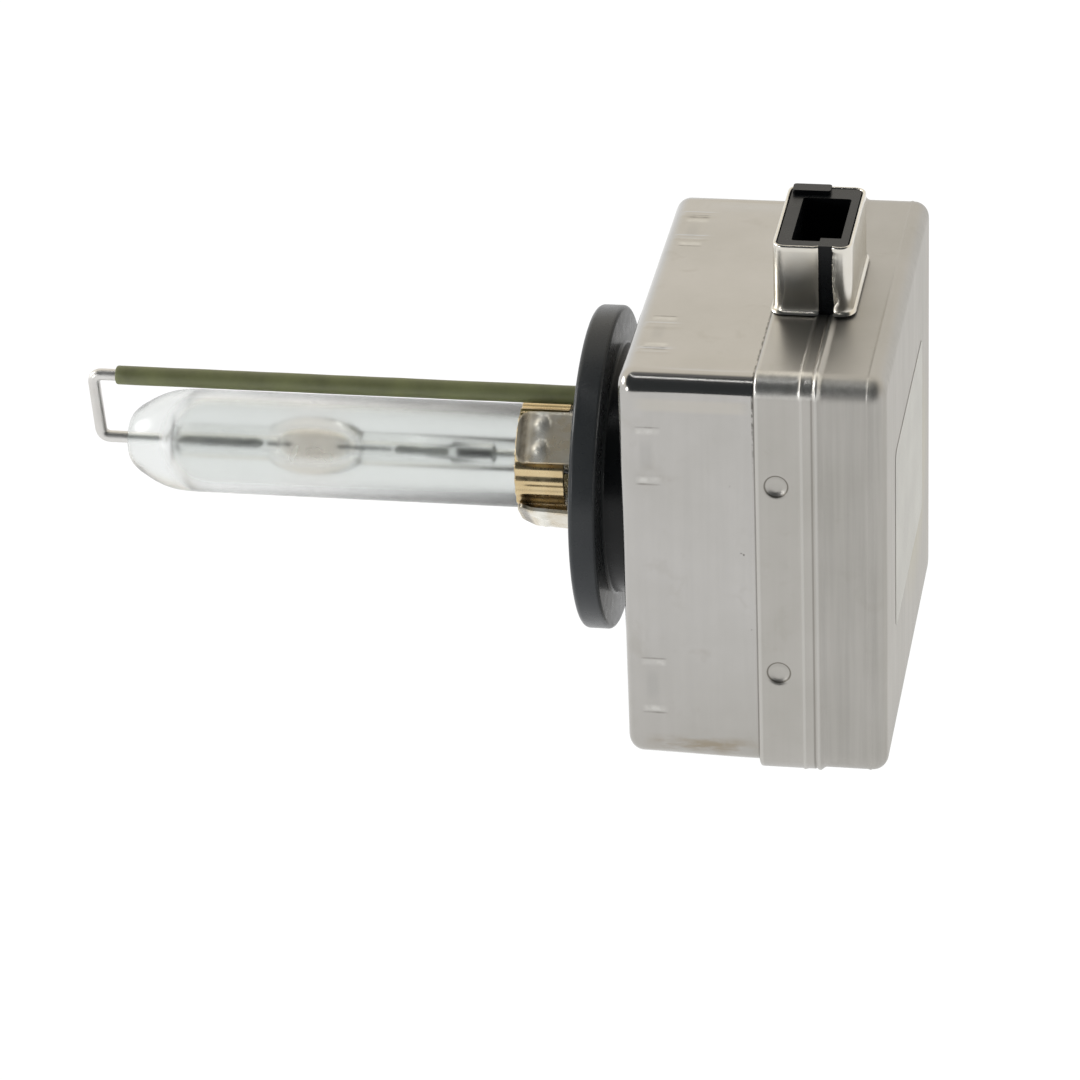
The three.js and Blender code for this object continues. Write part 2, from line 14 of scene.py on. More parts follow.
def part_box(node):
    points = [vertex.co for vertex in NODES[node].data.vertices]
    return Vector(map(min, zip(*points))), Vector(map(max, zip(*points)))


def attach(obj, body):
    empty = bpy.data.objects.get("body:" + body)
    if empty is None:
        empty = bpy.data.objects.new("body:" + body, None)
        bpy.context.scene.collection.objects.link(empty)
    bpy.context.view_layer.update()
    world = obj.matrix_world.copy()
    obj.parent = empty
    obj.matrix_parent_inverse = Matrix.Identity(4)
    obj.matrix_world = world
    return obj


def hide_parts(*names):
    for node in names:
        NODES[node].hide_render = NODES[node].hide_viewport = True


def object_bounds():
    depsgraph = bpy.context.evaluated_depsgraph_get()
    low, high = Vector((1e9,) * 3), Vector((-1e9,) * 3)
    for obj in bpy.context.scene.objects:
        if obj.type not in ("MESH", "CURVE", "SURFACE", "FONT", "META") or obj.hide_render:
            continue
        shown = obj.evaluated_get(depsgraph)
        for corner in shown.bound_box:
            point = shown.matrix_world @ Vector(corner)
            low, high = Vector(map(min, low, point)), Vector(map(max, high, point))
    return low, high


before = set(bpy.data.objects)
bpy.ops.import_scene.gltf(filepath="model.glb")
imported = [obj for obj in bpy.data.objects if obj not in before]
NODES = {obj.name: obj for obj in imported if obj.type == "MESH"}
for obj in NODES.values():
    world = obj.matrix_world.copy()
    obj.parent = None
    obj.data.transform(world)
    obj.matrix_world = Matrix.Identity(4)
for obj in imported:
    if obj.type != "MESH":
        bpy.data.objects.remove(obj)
cad_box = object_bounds()

MM = 0.001
BODY = "root"


def extent(node):
    """(lowest, highest) corner of a CAD node in millimetres."""
    lo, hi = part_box(node)
    return Vector(lo) / MM, Vector(hi) / MM


# -------------------- sizes, from the frame
RING_LO, RING_HI = extent("base_ring")
GLASS_LO, GLASS_HI = extent("outer_bulb")
ARC_LO, ARC_HI = extent("arc_tube")
TUBE_LO, TUBE_HI = extent("ceramic_tube")
WIRE_LO, WIRE_HI = extent("return_wire")
SLEEVE_LO, SLEEVE_HI = extent("clamp_sleeve")
CAN_LO, CAN_HI = extent("front_shield")
LID_LO, LID_HI = extent("rear_shield")
SHROUD_LO, SHROUD_HI = extent("connector_shroud")
HOUSING_LO = extent("connector_housing")[0]

AXIS_Z = (GLASS_LO.z + GLASS_HI.z) / 2          # height of the burner's axis
GLASS_R = (GLASS_HI.y - GLASS_LO.y) / 2
RING_R = RING_HI.z
CAN_HALF = CAN_HI.y
RIDGE_X = 24.73                                 # middle of the lid's bead
BEAD = 0.1                                      # how far the lid's bead stands proud
LID_HALF = LID_HI.y - BEAD
EDGE_R = 1.5                                    # rounding of the box's edges
SHEET = 0.35                                    # thickness of the drawn sheet
CHAMBER_X = (extent("front_electrode")[1].x + extent("rear_electrode")[0].x) / 2
RING_THICK = 2.7                                # the seating ring's rim, along X
TAB_X = (7.7, 10.0)                             # pressed tab marks near the front shield's front
TAB_ALONG = (9.6, 15.3)
DIMPLE_X, DIMPLE_ALONG, DIMPLE_R = 20.95, 10.05, 1.1
CREASE_X, RIPPLE_X = 23.3, 29.55                # raised lines across the rear shield
SAG = 0.012                                     # share by which the box's lower half is deeper
LEG_TIP, LEG_BEND, LEG_FOOT = -6.8, -5.1, 1.4   # along X
NUGGET_X, NUGGET_SIDE = -4.4, 1.25              # weld nuggets on each leg
SLIT_FRONT, SLIT_REAR = 23.4, 24.75             # the shroud's open slit
TEAR_Z = 22.9                                   # height of the tear in the slit's rear edge
FOIL_ROLL = math.radians(50)                    # the ribbons sit rolled about the axis


# -------------------- mesh helpers
def smooth(mesh, sharp):
    """Smooth shading, with edges over `sharp` degrees kept crisp."""
    mesh.polygons.foreach_set("use_smooth", [True] * len(mesh.polygons))
    mesh.set_sharp_from_angle(angle=math.radians(sharp))


def new_object(name, verts, faces, sharp=35.0):
    """A smooth mesh object from millimetre points."""
    mesh = bpy.data.meshes.new(name)
    mesh.from_pydata([tuple(v) for v in np.asarray(verts) * MM], [], faces)
    mesh.validate()
    smooth(mesh, sharp)
    obj = bpy.data.objects.new(name, mesh)
    bpy.context.scene.collection.objects.link(obj)
    return obj


def face_out(obj):
    """Turns every face outwards."""
    work = bmesh.new()
    work.from_mesh(obj.data)
    bmesh.ops.remove_doubles(work, verts=work.verts, dist=1e-7)
    bmesh.ops.recalc_face_normals(work, faces=work.faces)
    work.to_mesh(obj.data)
    work.free()
    return obj


def apply_modifiers(obj, sharp=35.0):
    """Makes the object's modifiers part of its mesh."""
    graph = bpy.context.evaluated_depsgraph_get()
    mesh = bpy.data.meshes.new_from_object(obj.evaluated_get(graph))
    obj.modifiers.clear()
    obj.data = mesh
    smooth(mesh, sharp)
    return obj


def subtract(obj, *cutters):
    """Cuts the given objects out of obj and removes them."""
    for cutter in cutters:
        step = obj.modifiers.new("cut", "BOOLEAN")
        step.operation = "DIFFERENCE"
        step.solver = "EXACT"
        step.object = cutter
    apply_modifiers(obj)
    for cutter in cutters:
        bpy.data.objects.remove(cutter)
    return obj


def grid(rows, columns, loop_rows, loop_columns):
    """Faces of a rows x columns grid of points, closed in either direction where asked."""
    faces = []
    for i in range(rows if loop_rows else rows - 1):
        for j in range(columns if loop_columns else columns - 1):
            a, b = i * columns + j, i * columns + (j + 1) % columns
            c, d = ((i + 1) % rows) * columns + (j + 1) % columns, ((i + 1) % rows) * columns + j
            faces.append((a, b, c, d))
    return faces


def capped(rows, columns):
    """Faces of a tube of rows rings of columns points, with both ends closed."""
    faces = grid(rows, columns, False, True)
    faces.append(tuple(range(columns)))
    faces.append(tuple((rows - 1) * columns + k for k in reversed(range(columns))))
    return faces


def strip_faces(rows, columns):
    """Faces of a thin strip: an upper grid of points, the same grid below it, and the rim."""
    faces = grid(rows, columns, False, False)
    base = rows * columns
    faces += [tuple(base + v for v in reversed(face)) for face in faces]
    rim = [i * columns for i in range(rows)] + [(rows - 1) * columns + j for j in range(1, columns)]
    rim += [i * columns + columns - 1 for i in reversed(range(rows - 1))]
    rim += [j for j in reversed(range(1, columns - 1))]
    return faces + [(a, b, base + b, base + a) for a, b in zip(rim, rim[1:] + rim[:1])]


def rounded(points, radii, steps=6):
    """A closed outline with each corner replaced by an arc of its own radius."""
    outline = []
    count = len(points)
    for i, (point, radius) in enumerate(zip(points, radii)):
        here = Vector(point)
        if radius <= 0:
            outline.append(tuple(here))
            continue
        back = (Vector(points[i - 1]) - here).normalized()
        ahead = (Vector(points[(i + 1) % count]) - here).normalized()
        half = back.angle(ahead) / 2
        reach = radius / math.tan(half)
        centre = here + (back + ahead).normalized() * (radius / math.sin(half))
        start, end = here + back * reach - centre, here + ahead * reach - centre
        for k in range(steps + 1):
            spot = (start * (1 - k / steps) + end * (k / steps)).normalized() * radius
            outline.append(tuple(centre + spot))
    return outline


def curve_through(points, steps):
    """Catmull-Rom curve through the points."""
    out = []
    last = len(points) - 1
    for i in range(last):
        p0, p1 = Vector(points[max(i - 1, 0)]), Vector(points[i])
        p2, p3 = Vector(points[i + 1]), Vector(points[min(i + 2, last)])
        for k in range(steps):
            t = k / steps
            out.append(tuple(0.5 * (2 * p1 + (p2 - p0) * t + (2 * p0 - 5 * p1 + 4 * p2 - p3) * t * t
                                    + (3 * p1 - p0 - 3 * p2 + p3) * t ** 3)))
    out.append(tuple(points[-1]))
    return out


def turned(name, profile, sides=96, centre_z=0.0, wobble=None, sharp=35.0):
    """A turned piece about the X axis at height centre_z, from a closed outline of (x, radius)."""
    verts = []
    for x, r in profile:
        for k in range(sides):
            turn = 2 * math.pi * k / sides
            radius = r + (wobble(x, r, turn) if wobble else 0.0)
            verts.append((x, radius * math.cos(turn), centre_z + radius * math.sin(turn)))
    return face_out(new_object(name, verts, grid(len(profile), sides, True, True), sharp))


def swept(name, path, section):
    """A bar of the given (side, up) section along a path in the XZ plane."""
    verts = []
    rows = len(path)
    for i, here in enumerate(path):
        ahead = Vector(path[min(i + 1, rows - 1)]) - Vector(path[max(i - 1, 0)])
        ahead.normalize()
        up = Vector((-ahead.z, 0, ahead.x))
        side = Vector((0, 1, 0))
        for s, u in section:
            verts.append(Vector(here) + side * s + up * u)
    return face_out(new_object(name, verts, capped(rows, len(section))))


def circle(radius, sides):
    return [(radius * math.cos(2 * math.pi * k / sides), radius * math.sin(2 * math.pi * k / sides))
            for k in range(sides)]


def smooth_step(low, high, value):
    t = np.clip((value - low) / (high - low), 0, 1)
    return t * t * (3 - 2 * t)


def hump(value, low, high, soft):
    """1 between low and high, falling smoothly to 0 over `soft` outside."""
    return smooth_step(low - soft, low, value) * (1 - smooth_step(high, high + soft, value))


def place(obj, node_slot, *stands_for):
    """Rides the piece on the body and hides the nodes it stands for."""
    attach(obj, BODY)
    if stands_for:
        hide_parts(*stands_for)
    return obj


# -------------------- material helpers
class Nodes:
    """Shorthand calls for the nodes of a material or a world; coords is where they look up."""

    def __init__(self, tree):
        self.tree = tree
        self.coords = self.node("ShaderNodeTexCoord").outputs["Object"]

    def node(self, kind, **settings):
        made = self.tree.nodes.new(kind)
        for key, value in settings.items():
            setattr(made, key, value)
        return made

    def link(self, source, target):
        self.tree.links.new(source, target)

    def stretched(self, scale):
        """Object coordinates scaled by axis."""
        mapping = self.node("ShaderNodeMapping")
        self.link(self.coords, mapping.inputs["Vector"])
        mapping.inputs["Scale"].default_value = scale
        return mapping.outputs["Vector"]

    def noise(self, size_mm, detail=3.0, rough=0.5, stretch=(1, 1, 1), distortion=0.0):
        """Noise whose blobs are about size_mm across."""
        made = self.node("ShaderNodeTexNoise")
        self.link(self.stretched(stretch), made.inputs["Vector"])
        made.inputs["Scale"].default_value = 1 / (size_mm * MM)
        made.inputs["Detail"].default_value = detail
        made.inputs["Roughness"].default_value = rough
        made.inputs["Distortion"].default_value = distortion
        return made.outputs["Fac"]

    def ramp(self, source, *stops):
        """Colour ramp through (position, colour or grey) stops."""
        made = self.node("ShaderNodeValToRGB")
        elements = made.color_ramp.elements
        while len(elements) < len(stops):
            elements.new(0.5)
        for element, (position, value) in zip(elements, stops):
            element.position = position
            tone = value if isinstance(value, tuple) else (value, value, value)
            element.color = (*tone, 1)
        self.link(source, made.inputs["Fac"])
        return made.outputs["Color"]

    def between(self, source, low, high, from_low=0.3, from_high=0.7):
        """Maps a value to the range low to high."""
        made = self.node("ShaderNodeMapRange")
        self.link(source, made.inputs["Value"])
        made.inputs["From Min"].default_value = from_low
        made.inputs["From Max"].default_value = from_high
        made.inputs["To Min"].default_value = low
        made.inputs["To Max"].default_value = high
        return made.outputs["Result"]

    def mix(self, factor, first, second, blend="MIX"):
        """Mixes two colours, each a socket or a tuple."""
        made = self.node("ShaderNodeMix", data_type="RGBA", blend_type=blend)
        for source, socket in ((factor, 0), (first, 6), (second, 7)):
            if isinstance(source, tuple):
                made.inputs[socket].default_value = (*source, 1)
            elif isinstance(source, (int, float)):
                made.inputs[socket].default_value = source
            else:
                self.link(source, made.inputs[socket])
        return made.outputs[2]

    def spot(self, centre_mm, radius_mm, soft_mm):
        """1 near a point of the object, fading to 0 at radius + soft."""
        offset = self.node("ShaderNodeVectorMath", operation="SUBTRACT")
        self.link(self.coords, offset.inputs[0])
        offset.inputs[1].default_value = tuple(c * MM for c in centre_mm)
        length = self.node("ShaderNodeVectorMath", operation="LENGTH")
        self.link(offset.outputs[0], length.inputs[0])
        return self.between(length.outputs["Value"], 1, 0, radius_mm * MM, (radius_mm + soft_mm) * MM)

    def axis(self, letter):
        """One object coordinate, in metres."""
        split = self.node("ShaderNodeSeparateXYZ")
        self.link(self.coords, split.inputs["Vector"])
        return split.outputs[letter]

    def math(self, operation, first, second=None):
        made = self.node("ShaderNodeMath", operation=operation)
        for source, socket in ((first, 0), (second, 1)):
            if isinstance(source, (int, float)):
                made.inputs[socket].default_value = source
            elif source is not None:
                self.link(source, made.inputs[socket])
        return made.outputs[0]

    def times(self, first, second):
        return self.math("MULTIPLY", first, second)

    def size(self, source):
        return self.math("ABSOLUTE", source)

    def stripe(self, source, centre_mm, half_mm, soft_mm):
        """1 where a length is within half_mm of centre_mm, fading over soft_mm."""
        off = self.math("ABSOLUTE", self.math("SUBTRACT", source, centre_mm * MM))
        return self.between(off, 1, 0, half_mm * MM, (half_mm + soft_mm) * MM)


class Shader(Nodes):
    """A Principled material with procedural detail."""

    def __init__(self, name, color, roughness, **sockets):
        self.material = bpy.data.materials.new(name)
        self.material.use_nodes = True
        super().__init__(self.material.node_tree)
        self.main = self.tree.nodes["Principled BSDF"]
        self.main.inputs["Base Color"].default_value = (*color, 1)
        self.main.inputs["Roughness"].default_value = roughness
        for socket, value in sockets.items():
            self.main.inputs[socket.replace("_", " ")].default_value = value

    def color(self, source):
        self.link(source, self.main.inputs["Base Color"])

    def roughness(self, source):
        self.link(source, self.main.inputs["Roughness"])

    def bump(self, source, depth_mm, strength=1.0):
        made = self.node("ShaderNodeBump")
        made.inputs["Strength"].default_value = strength
        made.inputs["Distance"].default_value = depth_mm * MM
        self.link(source, made.inputs["Height"])
        previous = self.main.inputs["Normal"]
        if previous.is_linked:
            self.link(previous.links[0].from_socket, made.inputs["Normal"])
        self.link(made.outputs["Normal"], previous)


def nickel_sheet():
    """Satin nickel plate on drawn sheet: cloudy tone, draw lines, stains, dirt and painted shade in the
    folds and at the seam, painted shade round the dimples and tab marks, painted highlights on the raised
    lines, upper edges and tab marks, and a painted warm sheen.
    """
    s = Shader("nickel_sheet", (0.44, 0.43, 0.41), 0.2, Metallic=1.0)
    x, y, z = s.axis("X"), s.axis("Y"), s.axis("Z")
    tone = s.ramp(s.noise(8, 4, 0.55), (0.3, (0.43, 0.42, 0.397)), (0.7, (0.468, 0.457, 0.438)))
    lid = s.between(x, 0, 1, LID_LO.x * MM, (LID_LO.x + 0.1) * MM)
    side = s.between(s.size(z), 1, 0, 20.0 * MM, 20.8 * MM)     # the upright faces only
    tone = s.mix(s.times(lid, side), tone, (0.96, 0.95, 0.93), "MULTIPLY")
    can = s.math("SUBTRACT", 1.0, lid)
    low = s.times(s.between(z, 1, 0, -19 * MM, -8 * MM), can)
    tone = s.mix(s.times(low, 0.6), tone, (0.84, 0.83, 0.80), "MULTIPLY")
    lines = s.ramp(s.noise(0.7, 3, 0.6, stretch=(1, 1, 0.03)), (0.35, 0.90), (0.65, 1.0))
    rear = s.between(x, 0.25, 1, 24.0 * MM, 25.0 * MM)
    tone = s.mix(s.times(rear, side), tone, lines, "MULTIPLY")
    smudge = s.ramp(s.noise(3.2, 6, 0.65, distortion=0.6), (0.58, 0.0), (0.74, 0.25))
    tone = s.mix(smudge, tone, (0.33, 0.31, 0.27))
    # dirt and painted shade: a ragged dark line along the seam just in front of the rear shield's lip,
    # stronger towards the top
    ragged = s.between(s.noise(0.5, 4, 0.7), 0.0, 1.0, 0.42, 0.58)
    upper = s.between(z, 0.0, 0.9, 10 * MM, 17 * MM)
    seam = s.times(s.stripe(x, LID_LO.x - 0.10, 0.08, 0.1), s.times(ragged, upper))
    tone = s.mix(seam, tone, (0.10, 0.095, 0.085))
    specks = s.ramp(s.noise(0.9, 2, 0.5), (0.73, 0.0), (0.76, 0.7))
    near_seam = s.stripe(x, LID_LO.x - 1.5, 0.9, 0.8)
    tone = s.mix(s.times(specks, near_seam), tone, (0.12, 0.11, 0.10))
    # dirt and painted shade in the gap at the rear shield's lip and in the fold before the bead
    gap = s.stripe(x, LID_LO.x - 0.02, 0.05, 0.08)
    fold = s.stripe(x, RIDGE_X - 0.40, 0.05, 0.09)
    tone = s.mix(s.times(s.math("MAXIMUM", fold, gap), 0.5), tone, (0.16, 0.15, 0.13))
    # painted highlight along the crease, the bead and the rounding of the rear shield's lip
    raised_line_highlight = s.math("MAXIMUM", s.stripe(x, CREASE_X + 0.05, 0.07, 0.1), s.stripe(x, RIDGE_X, 0.06, 0.12))
    raised_line_highlight = s.math("MAXIMUM", raised_line_highlight, s.stripe(x, LID_LO.x + 0.25, 0.1, 0.15))
    tone = s.mix(s.times(raised_line_highlight, 0.5), tone, (0.56, 0.55, 0.52))
    along = s.mix(side, s.size(y), s.size(z))
    # painted highlights on the tab marks' ends, painted shadow lines beside them and painted shade in the
    # recess between them
    ticks = s.math("MAXIMUM", s.stripe(along, TAB_ALONG[0] + 0.3, 0.1, 0.35),
                   s.stripe(along, TAB_ALONG[1] - 0.3, 0.1, 0.35))
    shade = s.math("MAXIMUM", s.stripe(along, TAB_ALONG[0] - 0.15, 0.02, 0.12),
                   s.stripe(along, TAB_ALONG[1] + 0.15, 0.02, 0.12))
    patchy = s.between(s.noise(1.1, 3, 0.6), 0.35, 1.0, 0.4, 0.6)
    across = s.times(s.stripe(x, sum(TAB_X) / 2, 0.8, 0.5), patchy)
    tone = s.mix(s.times(s.times(ticks, across), 0.65), tone, (0.60, 0.59, 0.56))
    tone = s.mix(s.times(s.times(shade, across), 0.6), tone, (0.17, 0.16, 0.14))
    tick_recess_shade = s.times(s.stripe(along, sum(TAB_ALONG) / 2, 0.8, 1.2),
                           s.stripe(x, sum(TAB_X) / 2 - 0.2, 0.3, 0.5))
    tone = s.mix(s.times(tick_recess_shade, 0.35), tone, (0.35, 0.345, 0.33))
    # painted highlight on the rear shield's upper long edges, broken up by noise
    edges = s.math("ADD", s.size(y), s.size(z))
    upper_edges = s.times(s.between(z, 0, 1, 0.0, 5 * MM), lid)
    upper_edges = s.times(upper_edges, s.between(x, 1, 0, 29.6 * MM, 30.6 * MM))
    upper_edge_highlight = s.times(s.between(edges, 0, 1, 40.35 * MM, 40.8 * MM), upper_edges)
    highlight_breakup = s.between(s.noise(0.8, 4, 0.65), 0.35, 0.8, 0.35, 0.65)
    tone = s.mix(s.times(upper_edge_highlight, highlight_breakup), tone, (0.80, 0.79, 0.75))
    foot = s.times(s.stripe(z, -19.2, 0.5, 1.0), s.stripe(x, 13.5, 3.0, 3.0))
    clumps = s.between(s.noise(1.6, 4, 0.6, stretch=(0.3, 1, 1)), 0.0, 0.9, 0.4, 0.6)
    tone = s.mix(s.times(foot, clumps), tone, (0.30, 0.26, 0.20))
    # painted warm sheen, a reflection, just below the front shield's upper edges
    sheen = s.times(s.stripe(z, 17.8, 0.4, 0.4), s.stripe(x, 13.0, 4.4, 1.4))
    tone = s.mix(s.times(sheen, 0.5), tone, (0.50, 0.475, 0.42))
    # painted shade: a dark ring round the rim of each dimple
    near = s.size(s.math("SUBTRACT", s.size(z), DIMPLE_ALONG * MM))
    away = s.math("SUBTRACT", x, DIMPLE_X * MM)
    radius = s.math("SQRT", s.math("ADD", s.times(near, near), s.times(away, away)))
    ring = s.times(s.stripe(radius, DIMPLE_R, 0.03, 0.09), side)
    tone = s.mix(s.times(ring, 0.85), tone, (0.13, 0.12, 0.10))
    rear_wall = s.between(x, 0, 1, (LID_HI.x - 0.4) * MM, LID_HI.x * MM)
    tone = s.mix(rear_wall, tone, (1.0, 0.99, 0.97), "MULTIPLY")
    s.color(s.mix(s.times(s.spot((LID_HI.x, 6, -3), 4, 9), 0.5), tone, (0.50, 0.46, 0.30)))
    worn_lid = s.between(x, 0.17, 0.36, (LID_LO.x - 0.2) * MM, LID_LO.x * MM)
    worn_rear = s.between(x, 0.0, 0.1, (RIDGE_X - 0.2) * MM, (RIDGE_X + 0.2) * MM)
    s.roughness(s.math("ADD", worn_lid, worn_rear))
    s.bump(s.noise(0.16, 2, 0.6), 0.0018, 0.4)
    s.bump(s.noise(3.5, 2, 0.5), 0.03, 0.4)
    return s.material


def bright_nickel():
    """Polished nickel with slightly warm tarnish and fine draw lines."""
    s = Shader("bright_nickel", (0.70, 0.67, 0.61), 0.16, Metallic=1.0)
    s.color(s.ramp(s.noise(3.5, 3, 0.5), (0.3, (0.72, 0.70, 0.65)), (0.7, (0.65, 0.61, 0.53))))
    s.roughness(s.between(s.noise(3, 3, 0.5), 0.20, 0.26))
    s.bump(s.noise(0.35, 2, 0.5, stretch=(1, 1, 0.12)), 0.004, 0.4)
    return s.material


def leg_nickel():
    """The burner's bent legs: bright strip with a warm tint, a painted dark reflection near the tip and
    painted highlights at the weld nuggets.
    """
    s = Shader("leg_nickel", (0.70, 0.65, 0.53), 0.3, Metallic=0.5)
    tint = s.ramp(s.noise(1.6, 4, 0.6), (0.35, (0.78, 0.74, 0.64)), (0.65, (0.66, 0.58, 0.43)))
    x = s.axis("X")
    # painted dark reflection across the leg near its tip
    tip_dark_reflection = s.times(s.stripe(x, LEG_TIP + 0.65, 0.25, 0.45), s.between(s.noise(1.2, 3, 0.6), 0.6, 1.0))
    tint = s.mix(tip_dark_reflection, tint, (0.10, 0.085, 0.06))
    # painted highlight across the weld nuggets
    s.color(s.mix(s.stripe(x, NUGGET_X, 0.3, 0.5), tint, (0.88, 0.86, 0.78)))
    s.roughness(s.between(s.noise(1.6, 3, 0.5), 0.22, 0.3))
    s.bump(s.noise(0.3, 2, 0.5), 0.002, 0.3)
    return s.material


def black_plastic():
    """Glass-filled moulded plastic: grey-black on the ring, with painted shade darkening the neck."""
    s = Shader("black_plastic", (0.03, 0.033, 0.036), 0.28, Specular_IOR_Level=0.25)
    cloud = s.ramp(s.noise(5, 4, 0.55), (0.3, (0.034, 0.038, 0.042)), (0.7, (0.044, 0.048, 0.051)))
    # painted shade: the neck behind the ring's rim is darkened
    neck = s.between(s.axis("X"), 0, 1, (RING_THICK + 0.05) * MM, (RING_THICK + 0.3) * MM)
    s.color(s.mix(neck, cloud, (0.006, 0.007, 0.008)))
    s.roughness(s.between(s.noise(1.5, 4, 0.6), 0.25, 0.32))
    s.bump(s.noise(0.12, 2, 0.5), 0.0012, 0.3)
    return s.material


def quartz(name, tint, haze, ior, chamber_tint):
    """Fused quartz with faint draw ripples and a light haze; ior is given."""
    s = Shader(name, tint, haze, IOR=ior, Transmission_Weight=1.0)
    s.roughness(s.between(s.noise(6, 3, 0.5), haze * 0.85, haze * 1.15))
    s.bump(s.noise(7, 2, 0.4, stretch=(0.25, 1, 1)), 0.03, 0.25)
    cloud = s.between(s.noise(5, 2, 0.5), 0.0, 1.0)
    clear = s.mix(cloud, tint, tuple(0.985 * c for c in tint))
    s.color(s.mix(s.stripe(s.axis("X"), CHAMBER_X, 1.8, 2.4), clear, chamber_tint))
    return s.material


def metal(name, light, dark, roughness, grain_mm=0.2, stretch=(1, 1, 1)):
    """Plain metal with a two-tone cloud and fine grain."""
    s = Shader(name, light, roughness, Metallic=1.0)
    s.color(s.ramp(s.noise(1.8, 4, 0.6), (0.3, dark), (0.7, light)))
    s.roughness(s.between(s.noise(0.9, 4, 0.6), roughness * 0.75, roughness * 1.3))
    s.bump(s.noise(grain_mm, 2, 0.6, stretch=stretch), 0.005, 0.5)
    return s.material


def matte(name, light, dark, roughness, cloud_mm=2.0, grain_mm=0.15, depth_mm=0.01):
    """Plain non-metal with a two-tone cloud and fine grain."""
    s = Shader(name, light, roughness)
    s.color(s.ramp(s.noise(cloud_mm, 5, 0.6), (0.3, dark), (0.7, light)))
    s.roughness(s.between(s.noise(cloud_mm, 3, 0.5), roughness * 0.85, min(1, roughness * 1.15)))
    s.bump(s.noise(grain_mm, 3, 0.6), depth_mm, 0.5)
    return s.material


def salt_film():
    """Thin brownish deposit on the inside of the arc chamber."""
    s = Shader("salt_film", (0.90, 0.82, 0.68), 0.6)
    s.color(s.ramp(s.noise(1.2, 4, 0.6), (0.35, (0.86, 0.76, 0.60)), (0.65, (0.95, 0.90, 0.80))))
    patch = s.between(s.noise(2.4, 4, 0.6), 0.0, 0.16)
    s.link(patch, s.main.inputs["Alpha"])
    return s.material


def enamelled_wire():
    """Winding: fine turns side by side."""
    s = Shader("copper_wire", (0.55, 0.23, 0.10), 0.3, Metallic=0.8)
    turns = s.node("ShaderNodeTexWave", wave_type="BANDS", bands_direction="Y", wave_profile="SIN")
    s.link(s.coords, turns.inputs["Vector"])
    turns.inputs["Scale"].default_value = 900
    s.color(s.ramp(turns.outputs["Fac"], (0.1, (0.20, 0.07, 0.03)), (0.6, (0.62, 0.27, 0.12))))
    s.bump(turns.outputs["Fac"], 0.05)
    return s.material


MATERIALS = {
    "nickel_sheet": nickel_sheet(),
    "bright_nickel": bright_nickel(),
    "leg_nickel": leg_nickel(),
    "black_plastic": black_plastic(),
    "bulb_quartz": quartz("bulb_quartz", (0.85, 0.868, 0.858), 0.24, 1.36, (0.85, 0.86, 0.85)),
    "arc_quartz": quartz("arc_quartz", (0.965, 0.97, 0.965), 0.14, 1.42, (0.955, 0.93, 0.895)),
    "wire_nickel": metal("wire_nickel", (0.72, 0.71, 0.69), (0.60, 0.585, 0.56), 0.4),
    "dark_steel": metal("dark_steel", (0.36, 0.36, 0.37), (0.24, 0.24, 0.25), 0.35),
    "molybdenum": metal("molybdenum", (0.90, 0.91, 0.90), (0.76, 0.77, 0.77), 0.5),
    "brass": metal("brass", (0.70, 0.57, 0.34), (0.56, 0.43, 0.24), 0.28, 0.25, (0.2, 1, 1)),
    "copper_wire": enamelled_wire(),
    "olive_ceramic": matte("olive_ceramic", (0.215, 0.235, 0.10), (0.15, 0.16, 0.075), 0.5, 3.5, 0.12),
    "white_ceramic": matte("white_ceramic", (0.78, 0.77, 0.72), (0.68, 0.66, 0.60), 0.5),
    "ferrite": matte("ferrite", (0.06, 0.06, 0.065), (0.03, 0.03, 0.033), 0.6),
    "board": matte("board", (0.04, 0.20, 0.09), (0.03, 0.14, 0.06), 0.4),
    "film_case": matte("film_case", (0.45, 0.30, 0.08), (0.36, 0.22, 0.05), 0.35),
    "potting": matte("potting", (0.05, 0.045, 0.04), (0.03, 0.028, 0.026), 0.5),
    "label": matte("label", (0.45, 0.44, 0.40), (0.41, 0.40, 0.335), 0.35, 5, 0.1, 0.004),
    "salt_film": salt_film(),
}


def dress(obj, material):
    obj.data.materials.clear()
    obj.data.materials.append(MATERIALS[material])
    return obj


# -------------------- burner
def outer_bulb():
    """Quartz jacket: straight tube with a stepped, drawn-down nose round the front lead."""
    tip, end, bore = GLASS_LO.x, GLASS_HI.x, GLASS_R - 1.0
    lead_hole = 0.4
    nose = [(0, 1.1), (0.05, 1.6), (0.18, 2.1), (0.45, 2.6), (0.8, 2.97), (1.3, 3.38), (1.9, 3.75),
            (2.5, 4.1), (3.1, 4.4), (3.9, 4.72), (4.9, 4.98), (6.2, 5.12), (7.4, GLASS_R)]
    hollow = [(9.0, bore), (7.3, bore - 0.12), (6.1, bore - 0.5), (5.1, bore - 1.15), (4.35, bore - 2.0),
              (3.9, bore - 2.9), (3.72, 0.7), (3.7, lead_hole)]
    outline = [(tip, lead_hole)] + curve_through([(tip + dx, r) for dx, r in nose], 4)
    lip = 0.25
    outline += [(end - lip, GLASS_R), (end - 0.07, GLASS_R - 0.07), (end, GLASS_R - lip)]
    outline += [(end, bore + lip), (end - 0.07, bore + 0.07), (end - lip, bore)]
    outline += curve_through([(tip + dx, r) for dx, r in hollow], 3)
    return dress(turned("outer_bulb_quartz", outline, 128, AXIS_Z, sharp=60), "bulb_quartz")


